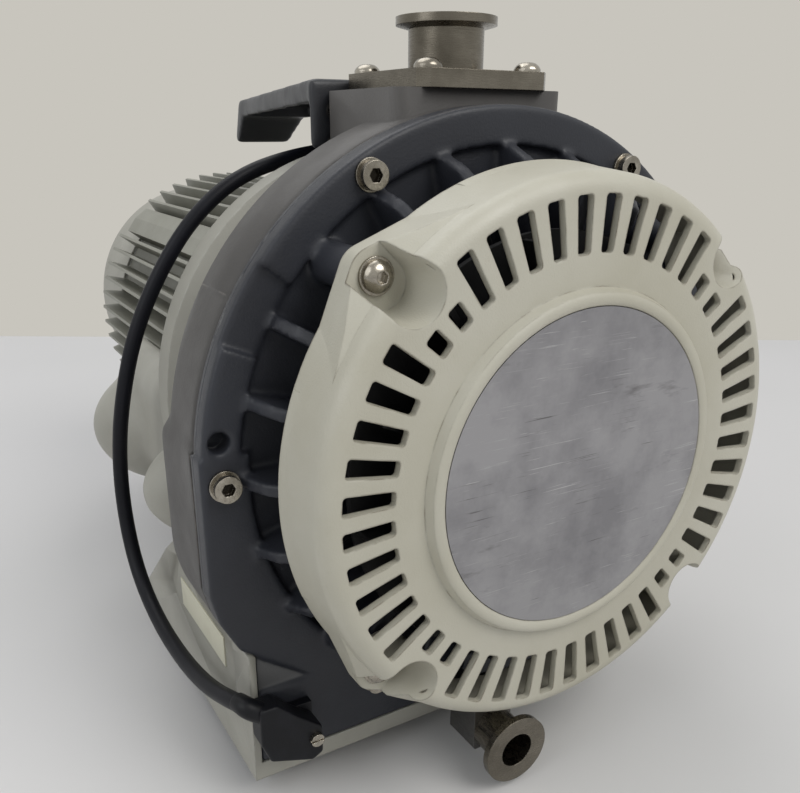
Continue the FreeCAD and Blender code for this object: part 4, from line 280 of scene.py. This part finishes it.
def scratched(name, colour, cloud, bright, dark):
    """Polished sheet that years of wiping have clouded, with scratches in several directions. A scratch
    field has its turn, its scale along and across the scratches, how rare they are, and its tone."""
    look = Look(name)
    clouds = look.ramp(look.noise(26.0, 5.0, 0.65), 0.38, 0.62)
    body = look.mixed(clouds, colour, cloud)
    height = None
    fields = (
        (0.5, 34.0, 1500.0, 0.66, bright),
        (1.5, 26.0, 1900.0, 0.67, bright),
        (2.4, 40.0, 1400.0, 0.66, dark),
        (0.12, 22.0, 1200.0, 0.65, dark),
        (2.9, 60.0, 1700.0, 0.66, bright),
    )
    for turn, along, across, rare, tone in fields:
        lines = look.noise(1.0, 2.0, 0.7, look.mapped((along, along, across), turn))
        where = look.ramp(look.noise(24.0 + 11.0 * turn, 3.0), 0.5, 0.62)
        share = look.times(look.ramp(lines, rare, rare + 0.05), where)
        body = look.mixed(look.times(share, 0.7), body, tone)
        height = share if height is None else look.plus(height, share)
    smears = look.noise(1.0, 5.0, 0.7, look.mapped((14.0, 14.0, 60.0)))
    look.shade(Base_Color=look.mixed(look.ramp(smears, 0.6, 0.7, 0.0, 0.6), body, dark),
               Roughness=look.ramp(clouds, 0.0, 1.0, 0.28, 0.42),
               Normal=look.bump(height, 0.2, 0.00005),
               Metallic=0.8)


# A patch has the place along the shaft where it starts, its middle, how far it reaches from there, and its
# tone. All three are painted light: a painted highlight on the web over the foot, painted shade on the
# inlet block's front, and painted shade on the floors of the screw heads' sockets.
CORNER_WEB_HIGHLIGHT = (at(0.0, 51.1, 0.0).y, at(-99.0, 51.5, -90.0), 0.031, (92, 92, 92))
BLOCK_FRONT_SHADE = (-1.0, at(0.0, 75.0, 125.0), 0.085, (46, 48, 54))
SOCKET_FLOOR_SHADE = (at(0.0, 46.4, 0.0).y, at(0.0, 46.4, 0.0), 1.0, (38, 35, 31))

# Each look is named after its material slot, apart from drum_paint and screw_head_steel.
painted("cream_paint", (184, 181, 167), (170, 166, 149), (118, 110, 94), 0.42, 1400.0, 0.0011)
# dark_casing carries a painted highlight: a lighter grey on the web over the foot, standing in for light
# falling on it.
painted("dark_casing", (46, 48, 54), (38, 39, 44), (128, 127, 125), 0.42, 1100.0, 0.0008, 0.35, CORNER_WEB_HIGHLIGHT)
# drum_paint carries painted shade: its faces that look to the front near the inlet block are painted
# darker.
painted("drum_paint", (78, 76, 74), (63, 61, 59), (132, 126, 118), 0.46, 900.0, 0.0010, 0.35, BLOCK_FRONT_SHADE)
painted("beige_casting", (160, 158, 148), (142, 140, 130), (186, 184, 176), 0.5, 1000.0, 0.0012)
painted("motor_paint", (140, 139, 128), (122, 121, 110), (170, 168, 160), 0.5, 1200.0, 0.0004)
painted("handle_paint", (46, 47, 51), (38, 39, 42), (92, 91, 90), 0.4, 1300.0, 0.0009, 0.4)
scratched("plate_metal", (158, 157, 159), (134, 133, 136), (196, 195, 195), (84, 82, 82))
metal("port_steel", (140, 134, 123), (94, 89, 80), 0.26, (300.0, 300.0, 2400.0))
metal("screw_steel", (196, 190, 178), (112, 106, 96), 0.22, (700.0, 700.0, 700.0))
# screw_head_steel carries painted shade: the floors of the heads' sockets are painted darker.
metal("screw_head_steel", (196, 190, 178), (112, 106, 96), 0.22, (700.0, 700.0, 700.0), patch=SOCKET_FLOOR_SHADE)
metal("block_alloy", (120, 119, 116), (92, 91, 90), 0.4, (400.0, 400.0, 1500.0))
metal("bearing_steel", (190, 190, 190), (150, 150, 150), 0.25, (500.0, 500.0, 500.0))
metal("iron", (120, 116, 110), (86, 82, 78), 0.5, (900.0, 900.0, 900.0))
metal("windings", (176, 104, 66), (128, 72, 46), 0.4, (1500.0, 200.0, 1500.0))
metal("scroll_alloy", (186, 186, 186), (150, 150, 150), 0.35, (400.0, 400.0, 400.0))
moulded("black_plastic", (13, 14, 18), (27, 28, 34), 0.42, 1500.0, 0.0006, 0.25)
moulded("lead_rubber", (12, 13, 20), (22, 23, 32), 0.4, 1800.0, 0.0006, 0.2)
moulded("feet_rubber", (34, 34, 36), (60, 59, 58), 0.75, 1300.0)
moulded("seal_rubber", (26, 26, 27), (46, 46, 46), 0.6, 1500.0)
moulded("tip_seal", (88, 84, 78), (108, 104, 96), 0.5, 1500.0)
moulded("fan_plastic", (20, 20, 22), (36, 36, 38), 0.5, 1300.0)
moulded("blank_label", (206, 203, 182), (188, 184, 162), 0.5, 900.0, 0.0003)


def dress_nodes():
    for part in frame["record"]["subparts"]:
        look = "screw_head_steel" if part["node"] == "casing_screws" else part["material_slot"]
        mesh = nodes[part["node"]].data
        mesh.materials.clear()
        mesh.materials.append(LOOKS[look])


dress_nodes()


# Castings: a cast piece is the CAD solid, with its visible side given one soft skin

WELD_GAP = 1e-6
CUT_GAP = 1e-7
FADE = 0.010
SHARP_ANGLE = math.radians(32.0)


def working_copy(name):
    """A node's mesh with its split corners joined."""
    work = bmesh.new()
    work.from_mesh(nodes[name].data)
    bmesh.ops.remove_doubles(work, verts=work.verts, dist=WELD_GAP)
    return work


def cut(work, axis, place, keep_above):
    """Keeps one side of a cut square to an axis, and closes it."""
    normal = Vector((0.0, 0.0, 0.0))
    normal[axis] = 1.0
    everything = work.verts[:] + work.edges[:] + work.faces[:]
    made = bmesh.ops.bisect_plane(work, geom=everything, dist=CUT_GAP, plane_co=normal * place,
                                  plane_no=normal, clear_inner=keep_above, clear_outer=not keep_above)
    rim = [item for item in made["geom_cut"] if isinstance(item, bmesh.types.BMEdge)]
    bmesh.ops.triangle_fill(work, use_beauty=True, edges=rim)
    return work


def modified(work, kind, **settings):
    """The mesh as one modifier leaves it."""
    mesh = bpy.data.meshes.new("worked")
    work.to_mesh(mesh)
    work.free()
    piece = placed("worked", mesh)
    modifier = piece.modifiers.new("worked", kind)
    for key, value in settings.items():
        setattr(modifier, key, value)
    seen = piece.evaluated_get(bpy.context.evaluated_depsgraph_get())
    result = bmesh.new()
    result.from_mesh(bpy.data.meshes.new_from_object(seen))
    bpy.data.objects.remove(piece)
    return result


def skinned(work, grain, passes, depth):
    """The solid as one skin of even facets, smoothed. depth() says how far inside the smoothed part a place
    is: the smoothing fades out over the last stretch before a seam, so that the skin meets the CAD mesh."""
    skin = modified(work, "REMESH", mode="VOXEL", voxel_size=grain)
    depths = [(vert, depth(vert.co)) for vert in skin.verts]
    for count in range(passes):
        limit = FADE * count / passes
        loose = [vert for vert, inside in depths if inside > limit]
        bmesh.ops.smooth_vert(skin, verts=loose, factor=0.5,
                              use_axis_x=True, use_axis_y=True, use_axis_z=True)
    for face in skin.faces:
        face.smooth = True
    return skin


def everywhere(place):
    """A depth that smooths the whole skin alike."""
    return 1.0


def thinned(work, share):
    """Fewer facets where the skin is nearly flat."""
    return modified(work, "DECIMATE", ratio=share)


def casting(name, parts, material, replaced):
    """One piece from several worked meshes, with sharp CAD edges kept sharp."""
    whole = bmesh.new()
    for work in parts:
        part = bpy.data.meshes.new("part")
        work.to_mesh(part)
        whole.from_mesh(part)
        work.free()
    mesh = bpy.data.meshes.new(name)
    whole.to_mesh(mesh)
    whole.free()
    mesh.shade_smooth()
    mesh.set_sharp_from_angle(angle=SHARP_ANGLE)
    piece = link(name, mesh, "housing", material)
    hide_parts(*replaced)


# Where a casting's soft skin ends and the CAD mesh goes on; the skin laps over by OVERLAP.
FACE_CUT = at(0.0, 57.5, 0.0).y
SHOULDER_CUT = at(-108.5, 0.0, 0.0).x
GROOVE_EDGE = at(0.0, 62.5, 0.0).y
CRADLE_CUT_Z = at(0.0, 0.0, -60.5).z
CRADLE_CUT_X = at(-58.0, 0.0, 0.0).x
OVERLAP = 0.0012


def face_depth(place):
    return FACE_CUT - OVERLAP - place.y


def shoulder_depth(place):
    return min(SHOULDER_CUT - OVERLAP - place.x, place.y - GROOVE_EDGE)


def cradle_depth(place):
    return min(place.z - CRADLE_CUT_Z - OVERLAP, CRADLE_CUT_X - OVERLAP - place.x)


def make_front_casing():
    front = cut(working_copy("front_fixed_scroll"), Y_AXIS, FACE_CUT + OVERLAP, False)
    front = thinned(skinned(front, 0.0010, 4, face_depth), 0.4)
    rear = cut(working_copy("front_fixed_scroll"), Y_AXIS, FACE_CUT, True)
    casting("front_casing", [front, rear], LOOKS["dark_casing"], ["front_fixed_scroll"])


def make_rear_casing():
    side = cut(working_copy("rear_fixed_scroll"), X_AXIS, SHOULDER_CUT + OVERLAP, False)
    side = skinned(side, 0.0012, 44, shoulder_depth)
    rest = cut(working_copy("rear_fixed_scroll"), X_AXIS, SHOULDER_CUT, True)
    casting("rear_casing", [side, rest], LOOKS["drum_paint"], ["rear_fixed_scroll"])


def make_base():
    left = cut(working_copy("base"), Z_AXIS, CRADLE_CUT_Z - OVERLAP, True)
    left = cut(left, X_AXIS, CRADLE_CUT_X + OVERLAP, False)
    right = cut(working_copy("base"), Z_AXIS, CRADLE_CUT_Z, True)
    right = cut(right, X_AXIS, CRADLE_CUT_X, True)
    tray = cut(working_copy("base"), Z_AXIS, CRADLE_CUT_Z, False)
    cradle = skinned(left, 0.0015, 30, cradle_depth)
    casting("base_casting", [cradle, right, tray], LOOKS["beige_casting"], ["base"])


def make_handle():
    grip = skinned(working_copy("carry_handle"), 0.0008, 24, everywhere)
    casting("grip", [grip], LOOKS["handle_paint"], ["carry_handle"])


def make_plug():
    body = thinned(skinned(working_copy("plug_body"), 0.0004, 6, everywhere), 0.5)
    casting("plug_housing", [body], LOOKS["black_plastic"], ["plug_body"])


make_front_casing()
make_rear_casing()
make_base()
make_handle()
make_plug()


# The boot, which turns the lead from the plug to the back, and the motor lead: smooth lines through points

BOOT_ROUTE = [
    (-105.0, 41.0, -97.5), (-109.5, 41.0, -95.0), (-114.5, 41.2, -91.8),
    (-118.2, 42.0, -89.2), (-119.4, 45.0, -88.9), (-119.9, 47.6, -89.4),
]
BOOT_RADII = [4.3, 4.3, 4.3, 4.1, 3.9, 3.75]
LEAD_ROUTE = [
    (-119.5, 45.5, -89.0), (-123.5, 62.0, -94.0), (-125.5, 98.0, -101.0), (-127.0, 137.0, -99.0),
    (-128.0, 166.0, -84.0), (-128.0, 178.0, -54.0), (-127.0, 174.0, -22.0), (-122.5, 170.0, 6.0),
    (-114.5, 170.0, 31.0), (-102.0, 170.0, 55.0), (-85.0, 170.5, 78.0), (-62.0, 171.0, 96.0),
    (-31.0, 173.0, 105.0), (4.0, 180.0, 108.0), (38.0, 193.0, 106.0), (70.0, 206.0, 97.0),
    (93.0, 214.0, 79.0), (103.0, 217.0, 53.0),
]
LEAD_DIAMETER = 7.0


def tube(name, route, radius, shares, along, around):
    """A round curve. Each point's radius is its share of the curve's radius."""
    curve = bpy.data.curves.new(name, "CURVE")
    curve.dimensions = "3D"
    spline = curve.splines.new("NURBS")
    spline.points.add(len(route) - 1)
    for point, place, share in zip(spline.points, route, shares):
        point.co = (*at(*place), 1.0)
        point.radius = share
    spline.order_u = 3
    spline.use_endpoint_u = True
    spline.resolution_u = along
    curve.bevel_depth = radius
    curve.bevel_resolution = around
    curve.use_fill_caps = True
    return curve


def make_boot():
    curve = tube("boot", BOOT_ROUTE, 0.001, BOOT_RADII, 10, 6)
    boot = link("boot", curve, "housing", LOOKS["black_plastic"])
    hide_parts("plug_boot")


def make_lead():
    curve = tube("lead", LEAD_ROUTE, LEAD_DIAMETER / 2000.0, [1.0] * len(LEAD_ROUTE), 12, 5)
    lead = link("lead", curve, "housing", LOOKS["lead_rubber"])
    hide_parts("motor_lead")


# The cover's rear lip: a low band round its side, between the screw ears

LIP_PROFILE = [(105.4, 21.6), (106.3, 21.9), (107.2, 27.4), (106.9, 27.95), (106.0, 27.95)]
LIP_MIDDLES = (0.0, 90.0, 180.0, 270.0)
LIP_HALF_ANGLE = 21.0
LIP_STEPS = 40


def arc_band(work, profile, start, end, steps):
    """A closed profile of (radius, y) points swept about the shaft from one angle to another."""
    rows = []
    for step in range(steps + 1):
        angle = math.radians(start + (end - start) * step / steps)
        rows.append([work.verts.new(at(radius * math.cos(angle), y, radius * math.sin(angle)))
                     for radius, y in profile])
    count = len(profile)
    for near, far in zip(rows, rows[1:]):
        for index in range(count):
            after = (index + 1) % count
            work.faces.new((near[index], near[after], far[after], far[index]))
    work.faces.new(rows[0][::-1])
    work.faces.new(rows[-1])


def make_cover_lip():
    work = bmesh.new()
    for middle in LIP_MIDDLES:
        arc_band(work, LIP_PROFILE, middle - LIP_HALF_ANGLE, middle + LIP_HALF_ANGLE, LIP_STEPS)
    bmesh.ops.recalc_face_normals(work, faces=work.faces)
    mesh = bpy.data.meshes.new("cover_lip")
    work.to_mesh(mesh)
    work.free()
    mesh.shade_smooth()
    mesh.set_sharp_from_angle(angle=SHARP_ANGLE)
    link("cover_lip", mesh, "housing", LOOKS["cream_paint"])


make_boot()
make_cover_lip()
make_lead()


# Floor, background and lamps. The floor ends behind the pump, where the wall begins in the picture.

FLOOR_VIEW = Vector((0.5148, 0.8573, 0.0))
FLOOR_SIDE = Vector((0.8573, -0.5148, 0.0))
FLOOR_BEHIND = 1.084
FLOOR_BEFORE = 1.6
FLOOR_HALF_WIDTH = 2.4


def make_stage():
    under_camera = at(CAMERA_PLACE[0], CAMERA_PLACE[1], -SHAFT_HEIGHT)
    far = under_camera + FLOOR_VIEW * FLOOR_BEHIND
    near = under_camera - FLOOR_VIEW * FLOOR_BEFORE
    half = FLOOR_SIDE * FLOOR_HALF_WIDTH
    corners = [near - half, near + half, far + half, far - half]
    mesh = bpy.data.meshes.new("floor")
    mesh.from_pydata([tuple(corner) for corner in corners], [], [(0, 1, 2, 3)])
    floor = placed("floor", mesh)
    look = Look("floor")
    tones = look.ramp(look.noise(1.5, 2.0), 0.3, 0.7)
    look.shade(Base_Color=look.mixed(tones, (214, 212, 211), (204, 203, 201)), Roughness=0.6)
    floor.data.materials.append(look.material)


# The surroundings as the pump is lit by them, as polished metal mirrors them, and as the camera sees them
LIT_COLOUR = (0.93, 0.96, 1.0, 1.0)
LIT_STRENGTH = 0.46
MIRRORED_COLOUR = (0.9, 0.9, 0.88, 1.0)
MIRRORED_STRENGTH = 0.75
WALL_COLOUR = srgb(200, 197, 189)
WALL_STRENGTH = 1.0


def make_world():
    world = bpy.data.worlds.new("world")
    bpy.context.scene.world = world
    world.use_nodes = True
    tree = world.node_tree
    tree.nodes.clear()

    def background(colour, strength):
        node = tree.nodes.new("ShaderNodeBackground")
        node.inputs["Color"].default_value = colour
        node.inputs["Strength"].default_value = strength
        return node.outputs[0]

    path = tree.nodes.new("ShaderNodeLightPath")
    seen = background(LIT_COLOUR, LIT_STRENGTH)
    for ray, colour, strength in (("Is Glossy Ray", MIRRORED_COLOUR, MIRRORED_STRENGTH),
                                  ("Is Camera Ray", WALL_COLOUR, WALL_STRENGTH)):
        mix = tree.nodes.new("ShaderNodeMixShader")
        tree.links.new(path.outputs[ray], mix.inputs["Fac"])
        tree.links.new(seen, mix.inputs[1])
        tree.links.new(background(colour, strength), mix.inputs[2])
        seen = mix.outputs[0]
    out = tree.nodes.new("ShaderNodeOutputWorld")
    tree.links.new(seen, out.inputs["Surface"])


def make_lamp(name, place, target, size, power, colour):
    data = bpy.data.lights.new(name, "AREA")
    data.shape = "DISK"
    data.size = size
    data.energy = power
    data.color = colour
    lamp = placed(name, data)
    lamp.location = Vector(place)
    lamp.rotation_mode = "QUATERNION"
    lamp.rotation_quaternion = (Vector(target) - Vector(place)).to_track_quat("-Z", "Y")


make_stage()
make_world()
make_lamp("key", (0.5, -1.3, 1.5), (0.0, 0.0, 0.15), 1.3, 18.5, (1.0, 0.985, 0.96))
make_lamp("fill", (-1.4, -0.3, 1.0), (0.0, 0.0, 0.12), 1.4, 7.0, (0.95, 0.97, 1.0))
make_lamp("top", (-0.1, 0.7, 1.8), (0.0, 0.1, 0.1), 1.5, 10.0, (1.0, 1.0, 1.0))

scene = bpy.context.scene
scene.view_settings.view_transform = "Standard"
